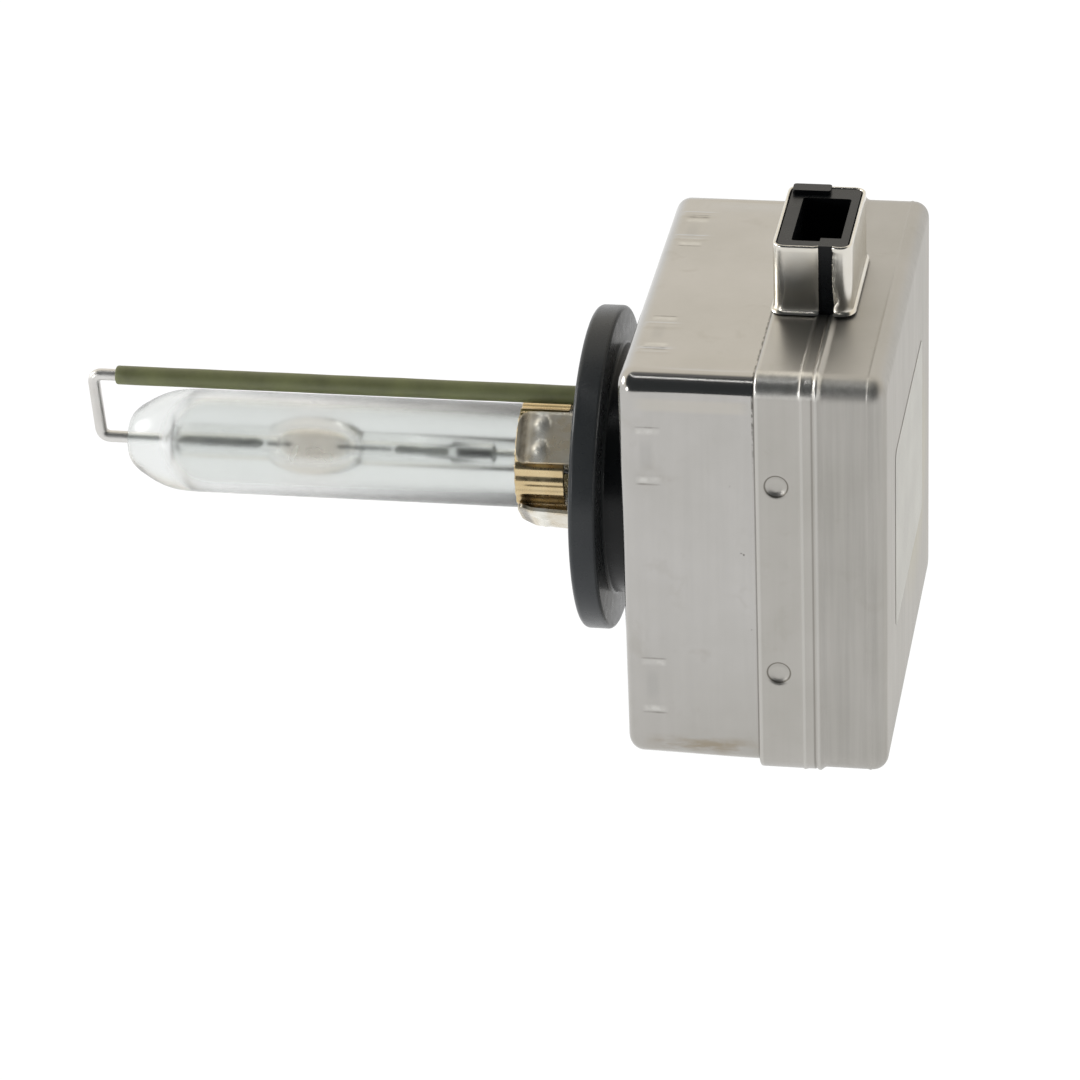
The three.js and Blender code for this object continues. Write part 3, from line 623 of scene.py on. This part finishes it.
def arc_tube():
    """Inner quartz tube: two stems and the blown arc chamber between them."""
    front, rear = ARC_LO.x, ARC_HI.x
    stem, bore, rear_bore, lead_bore = 1.7, 0.56, 0.8, 0.36
    coil = extent("rear_lead_coil")[1]
    steps = 28
    outside = [(CHAMBER_X + 4.4 * math.cos(a), stem + 1.25 * math.sin(a) ** 1.4)
               for a in np.linspace(math.pi, 0, steps)]
    inside = [(CHAMBER_X + 3.3 * math.cos(a), bore + 0.8 * math.sin(a))
              for a in np.linspace(0, math.pi, steps)]
    outline = [(front, bore), (front, 1.2), (front + 0.15, 1.5), (front + 0.5, stem), *outside,
               (rear - 0.3, stem), (rear, stem - 0.3), (rear, lead_bore), (coil.x + 0.4, lead_bore),
               (coil.x + 0.1, rear_bore), (-14.5, rear_bore), (-14.9, bore), *inside]
    glass = dress(turned("arc_tube_quartz", outline, 64, AXIS_Z, sharp=50), "arc_quartz")
    skin = 0.04
    film_outline = [(x, r - skin) for x, r in inside[3:-3]]
    film_outline += [(x, r - 2 * skin) for x, r in reversed(inside[3:-3])]
    film = dress(turned("salt_deposit", film_outline, 48, AXIS_Z), "salt_film")
    return glass, film


def electrode(name, node, tip_at_high_x):
    """Tungsten rod with a slightly thicker, rounded tip."""
    lo, hi = extent(node)
    r = (hi.y - lo.y) / 2
    points = [(0, 0.001), (0.05, r * 0.8), (0.15, r * 1.15), (0.45, r * 1.2), (0.6, r)]
    length = hi.x - lo.x
    points += [(length - 0.05, r), (length, r * 0.7), (length, 0.001)]
    outline = [(hi.x - dx if tip_at_high_x else lo.x + dx, radius) for dx, radius in points]
    return dress(turned(name, outline, 24, AXIS_Z), "dark_steel")


def foil(name, node):
    """Molybdenum ribbon with feathered edges and rounded ends."""
    lo, hi = extent(node)
    half, thick = (hi.y - lo.y) / 2, (hi.z - lo.z) / 2
    cos_roll, sin_roll = math.cos(FOIL_ROLL), math.sin(FOIL_ROLL)
    rows, columns = 40, 13
    verts = []
    for side in (1, -1):
        for i in range(rows):
            along = i / (rows - 1)
            taper = min(1.0, math.sqrt(max(0.0, min(along, 1 - along)) * 14))
            for j in range(columns):
                across = 2 * j / (columns - 1) - 1
                height = side * thick * max(0.06, 1 - across ** 2) * (0.25 + 0.75 * taper)
                wide = across * half * max(taper, 0.15)
                verts.append((lo.x + along * (hi.x - lo.x), wide * cos_roll - height * sin_roll,
                              AXIS_Z + wide * sin_roll + height * cos_roll))
    return dress(face_out(new_object(name, verts, strip_faces(rows, columns))), "molybdenum")


def lead(name, node, radius):
    lo, hi = extent(node)
    outline = rounded([(lo.x, 0.001), (lo.x, radius), (hi.x, radius), (hi.x, 0.001)],
                      [0, 0.08, 0.08, 0], 3)
    return dress(turned(name, outline, 24, AXIS_Z), "molybdenum")


def lead_coil():
    """Fine coil where the rear foil's tail meets the lead."""
    lo, hi = extent("rear_lead_coil")
    wire, radius, turns, per_turn = 0.12, 0.42, 11, 20
    section = circle(wire, 8)
    count = turns * per_turn + 1
    verts = []
    for i in range(count):
        turn = 2 * math.pi * i / per_turn
        x = lo.x + wire + (hi.x - lo.x - 2 * wire) * i / (count - 1)
        out = Vector((0, math.cos(turn), math.sin(turn)))
        for a, b in section:
            verts.append(Vector((x + b, 0, AXIS_Z)) + out * (radius + a))
    faces = capped(count, len(section))
    return dress(face_out(new_object("rear_lead_coil_wound", verts, faces)), "dark_steel")


def bent_path(corners, bend, spacing=0.35):
    """Points in the XZ plane along straight runs with round bends."""
    path = [Vector(corners[0])]
    for i in range(1, len(corners) - 1):
        here = Vector(corners[i])
        back = (Vector(corners[i - 1]) - here).normalized()
        ahead = (Vector(corners[i + 1]) - here).normalized()
        for k in range(13):
            t = k / 12
            a, b = here + back * bend * (1 - t), here + ahead * bend * t
            path.append(a.lerp(b, t))
    path.append(Vector(corners[-1]))
    dense = [path[0]]
    for a, b in zip(path, path[1:]):
        pieces = max(1, min(60, round((b - a).length / spacing)))
        dense += [a.lerp(b, k / pieces) for k in range(1, pieces + 1)]
    return dense


def return_wire():
    """Bent nickel wire from the front lead round to the ceramic tube, and back through it."""
    radius = 0.6
    front = WIRE_LO.x + radius
    high = (TUBE_LO.z + TUBE_HI.z) / 2
    corners = [(WIRE_HI.x, 0, high), (front - 0.02, 0, high), (front + 0.36, 0, AXIS_Z),
               (GLASS_LO.x - 0.15, 0, AXIS_Z)]
    path = bent_path(corners, 1.0)
    wire = swept("return_wire_bent", path, circle(radius, 20))
    return dress(wire, "wire_nickel")


def ceramic_tube():
    """Fired ceramic sleeve over the return wire, very slightly out of true."""
    outer = (TUBE_HI.z - TUBE_LO.z) / 2
    centre = (TUBE_HI.z + TUBE_LO.z) / 2
    bore = 0.72
    steps = 60
    wall = [(TUBE_LO.x + 0.2 + (TUBE_HI.x - TUBE_LO.x - 0.4) * k / steps, outer) for k in range(steps + 1)]
    outline = [(TUBE_LO.x, bore), (TUBE_LO.x, outer - 0.18), (TUBE_LO.x + 0.06, outer - 0.06), *wall,
               (TUBE_HI.x, outer - 0.2), (TUBE_HI.x, bore)]

    def wobble(x, r, turn):
        return 0.02 * noise.noise(Vector((x * 0.35, math.cos(turn), math.sin(turn)))) if r > bore else 0
    return dress(turned("ceramic_tube_fired", outline, 32, centre, wobble), "olive_ceramic")


# -------------------- burner holder
def clamp_sleeve():
    """Fluted brass band with slightly rolled ends."""
    x0, x1 = SLEEVE_LO.x, SLEEVE_HI.x
    flutes, depth = 26, 0.09
    inner = GLASS_R + 0.1
    crest = (SLEEVE_HI.y - SLEEVE_LO.y) / 2 - 0.1
    outline = rounded([(x0, inner), (x0, crest), (x1, crest), (x1, inner)], [0, 0.1, 0.1, 0], 4)
    outline.insert(6, ((x0 + x1) / 2, crest))

    def flute(x, r, turn):
        return depth * math.cos(flutes * turn) if r > inner + 0.05 else 0
    band = turned("clamp_sleeve_fluted", outline, flutes * 14, AXIS_Z, flute, 60)
    return dress(band, "brass")


def burner_leg(index):
    """Bent nickel leg with two spot-weld nuggets; drawn facing +Z, then turned about the axis."""
    turn = math.radians(45 + 90 * index)
    tip, foot, thick, half, edge = LEG_TIP, LEG_FOOT, 0.35, 2.6, 0.95
    rows, columns = 46, 35
    top, bottom = [], []
    for i in range(rows):
        x = tip + (foot - tip) * i / (rows - 1)
        lean = 5.7 + 0.45 * float(smooth_step(tip, LEG_BEND, x))
        lean += 0.3 * max(0.0, (x - LEG_BEND) / (foot - LEG_BEND))
        width = half
        if x < tip + edge:
            width = half - edge + math.sqrt(max(0.0, edge ** 2 - (tip + edge - x) ** 2))
        for j in range(columns):
            across = 2 * j / (columns - 1) - 1
            y = across * width
            roll = 0.16 * max(0.0, abs(across) - 0.86) / 0.14
            z = lean - roll ** 2 * 3
            for centre in (-NUGGET_SIDE, NUGGET_SIDE):
                d = math.hypot((x - NUGGET_X) / 0.9, y - centre)
                z += 0.34 * math.exp(-(d * 1.5) ** 2)
            top.append((x, y, z + thick))
            bottom.append((x, y, min(z, lean)))
    spin = Matrix.Rotation(turn, 3, "X")
    verts = [spin @ Vector(v) + Vector((0, 0, AXIS_Z)) for v in top + bottom]
    leg = face_out(new_object(f"burner_leg_{index + 1}_bent", verts, strip_faces(rows, columns), 50))
    return dress(leg, "leg_nickel")


def base_ring():
    """Moulded ring, hub and neck in one black piece, with the bores for stem and return wire."""
    hub_x, hub_r = RING_LO.x, 8.2
    thick, neck_r, neck_end, hole = RING_THICK, 12.3, RING_HI.x, 2.6
    corners = [(hub_x, hole), (hub_x, hub_r), (0, hub_r), (0, RING_R), (thick, RING_R),
               (thick, neck_r), (neck_end, neck_r), (neck_end, hole)]
    outline = rounded(corners, [0.3, 0.35, 0.25, 0.55, 0.4, 0.35, 0.3, 0.2], 6)
    ring = turned("base_ring_moulded", outline, 192, 0.0, sharp=50)
    cutters = []
    tube_z, tube_r = (TUBE_LO.z + TUBE_HI.z) / 2, (TUBE_HI.z - TUBE_LO.z) / 2
    for height, radius in ((AXIS_Z, 2.75), (tube_z, tube_r + 0.04)):
        bore = [(hub_x - 1, 0.001), (hub_x - 1, radius), (neck_end + 1, radius), (neck_end + 1, 0.001)]
        cutters.append(turned("cutter", bore, 32, height))
    for index in range(4):
        slot = cutter_block((hub_x - 1, -2.8, 5.95), (1.65, 2.8, 7.1))
        slot.data.transform(Matrix.Rotation(math.radians(45 + 90 * index), 4, "X"))
        slot.data.transform(Matrix.Translation((0, 0, AXIS_Z * MM)))
        cutters.append(slot)
    return dress(subtract(ring, *cutters), "black_plastic")


# -------------------- igniter box
def side_samples(half, fine, fine_step, step):
    """Positions along a side from -half to half, closer together inside the `fine` bands."""
    places = [-half]
    while places[-1] < half - 1e-6:
        here = places[-1]
        close = any(low <= abs(here) <= high for low, high in fine)
        places.append(min(half, here + (fine_step if close else step)))
    return places


def section_points(half, corner, places, reach, corner_steps=10):
    """Rounded square as (y, z, side, along): `along` is the distance from the side's middle."""
    points = []
    straight = half - corner
    for quarter in range(4):
        turn = math.pi / 2 * quarter
        cos_t, sin_t = round(math.cos(turn)), round(math.sin(turn))
        local = [(place / reach * straight, half, place) for place in places]
        for k in range(1, corner_steps):
            a = math.pi / 2 * (1 - k / corner_steps)
            local.append((straight + corner * math.cos(a), straight + corner * math.sin(a), None))
        for u, v, along in local:
            points.append((u * cos_t + v * sin_t, v * cos_t - u * sin_t, quarter, along))
    return points


def sheet_box(name, outer, inner, places, reach, dent, poles):
    """Pressed-sheet box: rings of (x, half, corner, roundness) outside, then inside.

    roundness blends a ring from the rounded square (0) to a circle of radius `half` (1).
    dent(x, side, along) moves an outer point along its side's normal. poles closes both ends
    with a fan, where the box has a full rear wall.
    """
    verts = []
    rings = [(ring, True) for ring in outer] + [(ring, False) for ring in inner]
    columns = 0
    for (x, half, corner, roundness), is_outer in rings:
        ring = section_points(half, corner, places, reach)
        columns = len(ring)
        for y, z, quarter, along in ring:
            if roundness > 0:
                length = math.hypot(y, z)
                y += (y / length * half - y) * roundness
                z += (z / length * half - z) * roundness
            if z < 0 and roundness == 0:
                z *= 1 + SAG * float(smooth_step(6, 19, x))
            if is_outer and along is not None and roundness == 0:
                move = dent(x, quarter, along)
                turn = math.pi / 2 * quarter
                y += move * math.sin(turn)
                z += move * math.cos(turn)
            verts.append((x, y, z))
    faces = capped(len(rings), columns) if poles else grid(len(rings), columns, True, True)
    return face_out(new_object(name, verts, faces, 40))


def fillet_rings(x_flat, half, corner, radius, direction, steps=9):
    """Rings that turn a side into an end face at x_flat; direction is +1 towards +X."""
    rings = []
    for k in range(steps + 1):
        a = math.pi / 2 * k / steps
        drop = radius * (1 - math.cos(a))
        rings.append((x_flat - direction * radius * (1 - math.sin(a)), half - drop,
                      max(0.25, corner - drop), 0.0))
    return rings


def cutter_block(low, high):
    """A box object for cutting, from its corners in millimetres."""
    (x0, y0, z0), (x1, y1, z1) = low, high
    verts = [(x, y, z) for x in (x0, x1) for y in (y0, y1) for z in (z0, z1)]
    faces = [(0, 1, 3, 2), (4, 6, 7, 5), (0, 4, 5, 1), (2, 3, 7, 6), (0, 2, 6, 4), (1, 5, 7, 3)]
    return face_out(new_object("cutter", verts, faces))


def front_shield():
    """Drawn front can with pressed tab marks and the round hole for the neck."""
    x0, x1 = CAN_LO.x, CAN_HI.x
    half, corner, hole = CAN_HALF, 2.1, 12.45
    reach = half - corner
    places = side_samples(reach, [(8.9, 10.5), (14.5, 16.0)], 0.15, 0.4)

    def dent(x, side, along):
        mark = hump(abs(along), *TAB_ALONG, 0.3) * hump(x, TAB_X[0], TAB_X[1], 0.3)
        ends = hump(abs(along), TAB_ALONG[0] - 0.2, TAB_ALONG[0] + 0.6, 0.25)
        ends += hump(abs(along), TAB_ALONG[1] - 0.6, TAB_ALONG[1] + 0.2, 0.25)
        ticks = ends * hump(x, TAB_X[0] - 0.3, TAB_X[1] + 0.2, 0.25)
        sag = max(0.0, 1 - ((x - 14.2) / 6.4) ** 2) * math.exp(-((reach - abs(along)) / 1.5) ** 2)
        return 0.06 * float(ticks) - 0.04 * float(mark) - 0.10 * sag
    walls = fillet_rings(x0, half, corner, EDGE_R, -1)
    face = [(x0, half - EDGE_R - (half - EDGE_R - hole) * t, 0.3, float(smooth_step(0.1, 1, t)))
            for t in np.linspace(1, 0, 12)][:-1]
    side = [(x, half, corner, 0.0) for x in
            list(np.arange(x0 + EDGE_R + 0.2, 10.2, 0.2)) + list(np.arange(10.5, x1, 0.55)) + [x1]]
    outer = face + list(reversed(walls)) + side
    inner_half, inner_corner = half - SHEET, corner - SHEET
    inner = [(x1, inner_half, inner_corner, 0.0), (x0 + 4, inner_half, inner_corner, 0.0)]
    inner += list(fillet_rings(x0 + SHEET, inner_half, inner_corner, EDGE_R - SHEET, -1, 4))
    inner += [(x0 + SHEET, hole, 0.3, 1.0)]
    box = sheet_box("front_shield_pressed", outer, inner, places, reach, dent, False)
    notch = cutter_block((HOUSING_LO.x - 0.15, SHROUD_LO.y + 0.3, 18), (x1 + 1, SHROUD_HI.y - 0.3, 23))
    return dress(subtract(box, notch), "nickel_sheet")


def rear_shield():
    """Rear can: rolled lip over the front can, crease, bead, and a pressed rear wall."""
    x0, x1 = LID_LO.x, LID_HI.x
    corner = 2.1
    rear_half = LID_HALF - 0.18
    reach = LID_HALF - corner
    places = side_samples(reach, [(8.6, 11.6)], 0.13, 0.4)

    def outer_half(x):
        lip = 0.30 * (1 - math.sqrt(max(0.0, 1 - (max(0.0, x0 + 0.30 - x) / 0.30) ** 2)))
        crease = 0.08 * math.exp(-((x - CREASE_X) / 0.15) ** 2)
        groove = 0.06 * math.exp(-((x - RIDGE_X + 0.33) / 0.09) ** 2)
        bead = 0.07 * math.exp(-((x - RIDGE_X) / 0.18) ** 2)
        step = (LID_HALF - rear_half) * float(smooth_step(RIDGE_X + 0.05, RIDGE_X + 0.6, x))
        ripple = 0.05 * math.exp(-((x - RIPPLE_X) / 0.12) ** 2)
        return LID_HALF - lip + crease - groove + bead - step + ripple

    def dent(x, side, along):
        if side % 2 == 0:
            return 0.0
        d = math.hypot(x - DIMPLE_X, abs(along) - DIMPLE_ALONG) / DIMPLE_R
        bowl = -0.30 * (1 - d ** 4) if d < 1 else 0.0
        groove = -0.07 * math.exp(-((d - 1.0) / 0.08) ** 2)
        return bowl + groove
    fine_x = list(x0 + 0.28 * (1 - np.cos(np.linspace(0, math.pi / 2, 6))))
    fine_x += list(np.arange(x0 + 0.45, 22.1, 0.15)) + list(np.arange(22.2, 23.5, 0.12))
    fine_x += list(np.arange(23.55, 25.5, 0.06)) + list(np.arange(25.7, 29.1, 0.4))
    fine_x += list(np.arange(29.15, x1 - EDGE_R - 0.05, 0.08))
    outer = [(x, outer_half(x), corner, 0.0) for x in fine_x]
    outer += fillet_rings(x1, rear_half, corner, EDGE_R, 1)
    edge = rear_half - EDGE_R
    for inset in (0.15, 0.3, 0.45, 0.6, 0.8, 1.1, 2, 4, 7, 10, 13, 16, 18.5):
        outer.append((x1, edge - inset, max(0.25, 0.3 + 0.4 * min(inset, 1)), 0.0))
    inner_half = rear_half - SHEET
    inner = [(x1 - SHEET, half, 0.3, 0.0) for half in (0.6, 8, inner_half - 1.2)]
    inner += list(reversed(fillet_rings(x1 - SHEET, inner_half, corner - SHEET, 1.1, 1, 4)))
    inner += [(x0 + 1.5, inner_half, corner - SHEET, 0.0),
              (x0 + 1.2, CAN_HALF + 0.1, corner, 0.0), (x0, CAN_HALF + 0.1, corner, 0.0)]
    box = sheet_box("rear_shield_pressed", list(reversed(outer)), list(reversed(inner)),
                    places, reach, dent, True)
    notch = cutter_block((x0 - 1, SHROUD_LO.y + 0.9, 18), (SHROUD_HI.x - 0.9, SHROUD_HI.y - 0.9, 24))
    return dress(subtract(box, notch), "nickel_sheet")


def connector_shroud():
    """Thin nickel wall round the socket: flared foot, rounded corners, open slit on the near side."""
    foot = 0.32
    x0, x1 = SHROUD_LO.x + 0.28, SHROUD_HI.x - 0.55
    y0, y1 = SHROUD_LO.y + 0.55, SHROUD_HI.y - 0.55
    z0, z1 = SHROUD_LO.z, SHROUD_HI.z
    corner, wall = 1.15, 0.32

    def slit_rear(z):
        """The slit's rear edge is uneven, with a tear near the foot."""
        return SLIT_REAR + 0.5 * math.exp(-((z - TEAR_Z) / 0.75) ** 2) + 0.05 * math.sin(z * 5.3)

    def outline(z, push):
        """Open path round the wall at height z, moved outwards by push."""
        a, b, c, d = x0 - push, x1 + push, y0 - push, y1 + push
        r = corner + max(push, -0.9)
        path = []
        start = slit_rear(z)
        for k in range(12):
            path.append((start + (b - r - start) * k / 12, c))
        arcs = [(b - r, c + r, -90), (b - r, d - r, 0), (a + r, d - r, 90), (a + r, c + r, 180)]
        runs = [8, 26, 16, 0]
        for (cx, cy, begin), run in zip(arcs, runs):
            steps = 9
            for k in range(steps + 1):
                t = math.radians(begin + 90 * k / steps)
                path.append((cx + r * math.cos(t), cy + r * math.sin(t)))
            if run:
                ex, ey = path[-1]
                nxt = arcs[arcs.index((cx, cy, begin)) + 1]
                t = math.radians(nxt[2])
                tx, ty = nxt[0] + r * math.cos(t), nxt[1] + r * math.sin(t)
                path += [(ex + (tx - ex) * k / run, ey + (ty - ey) * k / run) for k in range(1, run)]
        ex = path[-1][0]
        path += [(ex + (SLIT_FRONT - ex) * k / 22, c) for k in range(1, 23)]
        return [(x, y + roll_in(x, y, c, start)) for x, y in path]

    def roll_in(x, y, near, start):
        """The edges beside the slit are rolled slightly inwards."""
        if abs(y - near) > 0.01:
            return 0.0
        gap = min(abs(x - start), abs(x - SLIT_FRONT))
        return 0.14 * max(0.0, 1 - gap / 0.7) ** 2

    flare = [(foot, 0.0), (foot * 0.62, 0.04), (foot * 0.3, 0.18), (foot * 0.1, 0.42), (0.0, 0.8)]
    profile = [(push, z0 + dz) for push, dz in flare]
    profile += [(0.0, z) for z in np.linspace(z0 + 1.2, z1 - 0.2, 14)]
    profile += [(-0.03, z1 - 0.08), (-0.10, z1 - 0.01), (-0.16, z1), (-0.24, z1 - 0.02), (-wall, z1 - 0.1)]
    profile += [(-wall, z) for z in np.linspace(z1 - 0.3, z0 + 1.0, 6)]
    profile += [(-wall + push * 0.95, z0 + 0.2 + dz) for push, dz in reversed(flare[2:4])]
    profile += [(foot * 0.6, z0 + 0.25)]
    verts = []
    for push, z in profile:
        ring = outline(z, push)
        columns = len(ring)
        verts += [(x, y, z) for x, y in ring]
    rows = len(profile)
    faces = grid(rows, columns, True, False)
    faces.append(tuple(i * columns for i in range(rows)))
    faces.append(tuple(i * columns + columns - 1 for i in reversed(range(rows))))
    shroud = face_out(new_object("connector_shroud_folded", verts, faces, 50))
    return dress(shroud, "bright_nickel")


def label_sheet():
    """Blank label: a thin sheet with rounded corners on the rear wall."""
    lo, hi = extent("blank_label")
    corners = [(lo.y, lo.z), (hi.y, lo.z), (hi.y, hi.z), (lo.y, hi.z)]
    outline = rounded(corners, [1.0] * 4, 8)
    skin = 0.01
    rings = [(lo.x, 0.0), (lo.x + 2 * skin, 0.0), (lo.x + 3 * skin, skin)]
    middle_y, middle_z = (lo.y + hi.y) / 2, (lo.z + hi.z) / 2
    verts = []
    for x, inset in rings:
        for y, z in outline:
            verts.append((x, y - math.copysign(inset, y - middle_y),
                          z - math.copysign(inset, z - middle_z)))
    faces = capped(len(rings), len(outline))
    return dress(face_out(new_object("label_sheet", verts, faces, 30)), "label")


def bevelled(node, material, width_mm, segments=3):
    """A CAD node that stays, with softened edges and its material."""
    obj = NODES[node]
    edge = obj.modifiers.new("edge", "BEVEL")
    edge.width = width_mm * MM
    edge.segments = segments
    edge.limit_method = "ANGLE"
    edge.angle_limit = math.radians(40)
    return dress(obj, material)


# -------------------- assembly
place(outer_bulb(), "quartz", "outer_bulb")
tube_glass, film = arc_tube()
place(tube_glass, "quartz", "arc_tube")
place(film, "quartz")
place(electrode("front_electrode_rod", "front_electrode", True), "dark_steel", "front_electrode")
place(electrode("rear_electrode_rod", "rear_electrode", False), "dark_steel", "rear_electrode")
place(foil("front_foil_ribbon", "front_foil"), "dark_steel", "front_foil")
place(foil("rear_foil_ribbon", "rear_foil"), "dark_steel", "rear_foil")
place(lead("front_lead_wire", "front_lead", 0.25), "dark_steel", "front_lead")
place(lead("rear_lead_wire", "rear_lead", 0.3), "dark_steel", "rear_lead")
place(lead_coil(), "dark_steel", "rear_lead_coil")
place(return_wire(), "wire_nickel", "return_wire")
place(ceramic_tube(), "olive_ceramic", "ceramic_tube")
place(clamp_sleeve(), "brass", "clamp_sleeve")
for number in range(4):
    place(burner_leg(number), "bright_nickel", f"burner_leg_{number + 1}")
place(base_ring(), "black_plastic", "base_ring")
place(front_shield(), "nickel_sheet", "front_shield")
place(rear_shield(), "nickel_sheet", "rear_shield")
place(connector_shroud(), "bright_nickel", "connector_shroud")

bevelled("connector_housing", "black_plastic", 0.12)
place(label_sheet(), "label", "blank_label")
for number in range(1, 5):
    bevelled(f"connector_pin_{number}", "brass", 0.08, 2)
    dress(NODES[f"secondary_winding_{number}"], "copper_wire")
for node, material in {
    "igniter_tub": "black_plastic", "transformer_core": "ferrite", "coil_bobbin": "black_plastic",
    "primary_winding": "copper_wire", "spark_gap_body": "white_ceramic",
    "spark_gap_cap_1": "dark_steel", "spark_gap_cap_2": "dark_steel",
    "storage_capacitor": "film_case", "bleeder_resistor": "white_ceramic",
    "high_voltage_contact": "brass", "return_strap": "brass", "circuit_board": "board",
    "potting_layer": "potting",
}.items():
    dress(NODES[node], material)


# -------------------- stage, light and camera
def pale_floor():
    """A wide white floor just under the CAD box."""
    half = 3.0
    z = cad_box[0][2] - 0.02 * MM
    corners = [(-half, -half, z), (half, -half, z), (half, half, z), (-half, half, z)]
    mesh = bpy.data.meshes.new("floor")
    mesh.from_pydata(corners, [], [(0, 1, 2, 3)])
    floor = bpy.data.objects.new("floor", mesh)
    bpy.context.scene.collection.objects.link(floor)
    s = Shader("floor", (0.02, 0.02, 0.02), 1.0, Specular_IOR_Level=0.0)
    s.main.inputs["Emission Color"].default_value = (1, 1, 1, 1)
    s.main.inputs["Emission Strength"].default_value = 1.03
    s.color(s.ramp(s.noise(60, 2, 0.4), (0.3, 0.018), (0.7, 0.022)))
    mesh.materials.append(s.material)


def studio_world():
    """White backdrop all round that warms upwards, with the dark of the room high in front."""
    world = bpy.data.worlds.new("studio")
    bpy.context.scene.world = world
    world.use_nodes = True
    w = Nodes(world.node_tree)
    towards = w.coords.node.outputs["Generated"]
    split = w.node("ShaderNodeSeparateXYZ")
    w.link(towards, split.inputs["Vector"])
    white = w.ramp(split.outputs["Z"], (0.05, (1.03, 1.03, 1.03)), (0.45, (1.08, 1.02, 0.91)))
    facing = w.node("ShaderNodeVectorMath", operation="DOT_PRODUCT")
    facing.inputs[1].default_value = Vector((0.05, -0.62, 0.78)).normalized()
    w.link(towards, facing.inputs[0])
    gloom = w.between(facing.outputs["Value"], 0, 1, 0.42, 0.62)
    gloom.node.interpolation_type = "SMOOTHSTEP"
    room = w.ramp(split.outputs["Y"], (0.0, (0.05, 0.055, 0.058)), (0.06, (0.20, 0.20, 0.20)))
    w.link(w.mix(gloom, white, room), w.tree.nodes["Background"].inputs["Color"])


def area_light(name, location, target, size, watts, tone=(1, 1, 1)):
    data = bpy.data.lights.new(name, "AREA")
    data.shape = "RECTANGLE"
    data.size, data.size_y = size
    data.energy = watts
    data.color = tone
    lamp = bpy.data.objects.new(name, data)
    lamp.location = location
    lamp.rotation_mode = "QUATERNION"
    lamp.rotation_quaternion = (Vector(target) - Vector(location)).to_track_quat("-Z", "Y")
    bpy.context.scene.collection.objects.link(lamp)
    return lamp


def studio_lights():
    area_light("left_softbox", (-0.75, 0.05, 0.27), (0.01, 0, 0.01), (0.30, 0.20), 2.4)
    area_light("front_left_softbox", (-0.43, -0.47, 0.10), (0.02, -0.02, 0.01), (0.12, 0.10), 0.45)
    area_light("ceiling_strip", (-0.09, -0.13, 0.62), (0.01, -0.02, 0.02), (0.50, 0.018), 0.16)


CAMERA_AZIMUTH, CAMERA_ELEVATION, CAMERA_ROLL = 10.97, 28.76, -2.48
CAMERA_DISTANCE, CAMERA_LENS = 467.4, 157.6
CAMERA_AIM = (-4.90, -4.43, -6.22)


def main_camera():
    azimuth, elevation = math.radians(CAMERA_AZIMUTH), math.radians(CAMERA_ELEVATION)
    back = Vector((math.sin(azimuth) * math.cos(elevation), -math.cos(azimuth) * math.cos(elevation),
                   math.sin(elevation)))
    data = bpy.data.cameras.new("camera")
    data.lens = CAMERA_LENS
    data.sensor_width = 36
    data.clip_start, data.clip_end = 0.01, 20
    camera = bpy.data.objects.new("camera", data)
    camera.location = (Vector(CAMERA_AIM) + back * CAMERA_DISTANCE) * MM
    camera.rotation_mode = "QUATERNION"
    level = (-back).to_track_quat("-Z", "Y")
    turn = Matrix.Rotation(math.radians(CAMERA_ROLL), 3, "Z").to_quaternion()
    camera.rotation_quaternion = level @ turn
    bpy.context.scene.collection.objects.link(camera)
    bpy.context.scene.camera = camera


pale_floor()
studio_world()
studio_lights()
main_camera()
bpy.context.scene.view_settings.view_transform = "Standard"
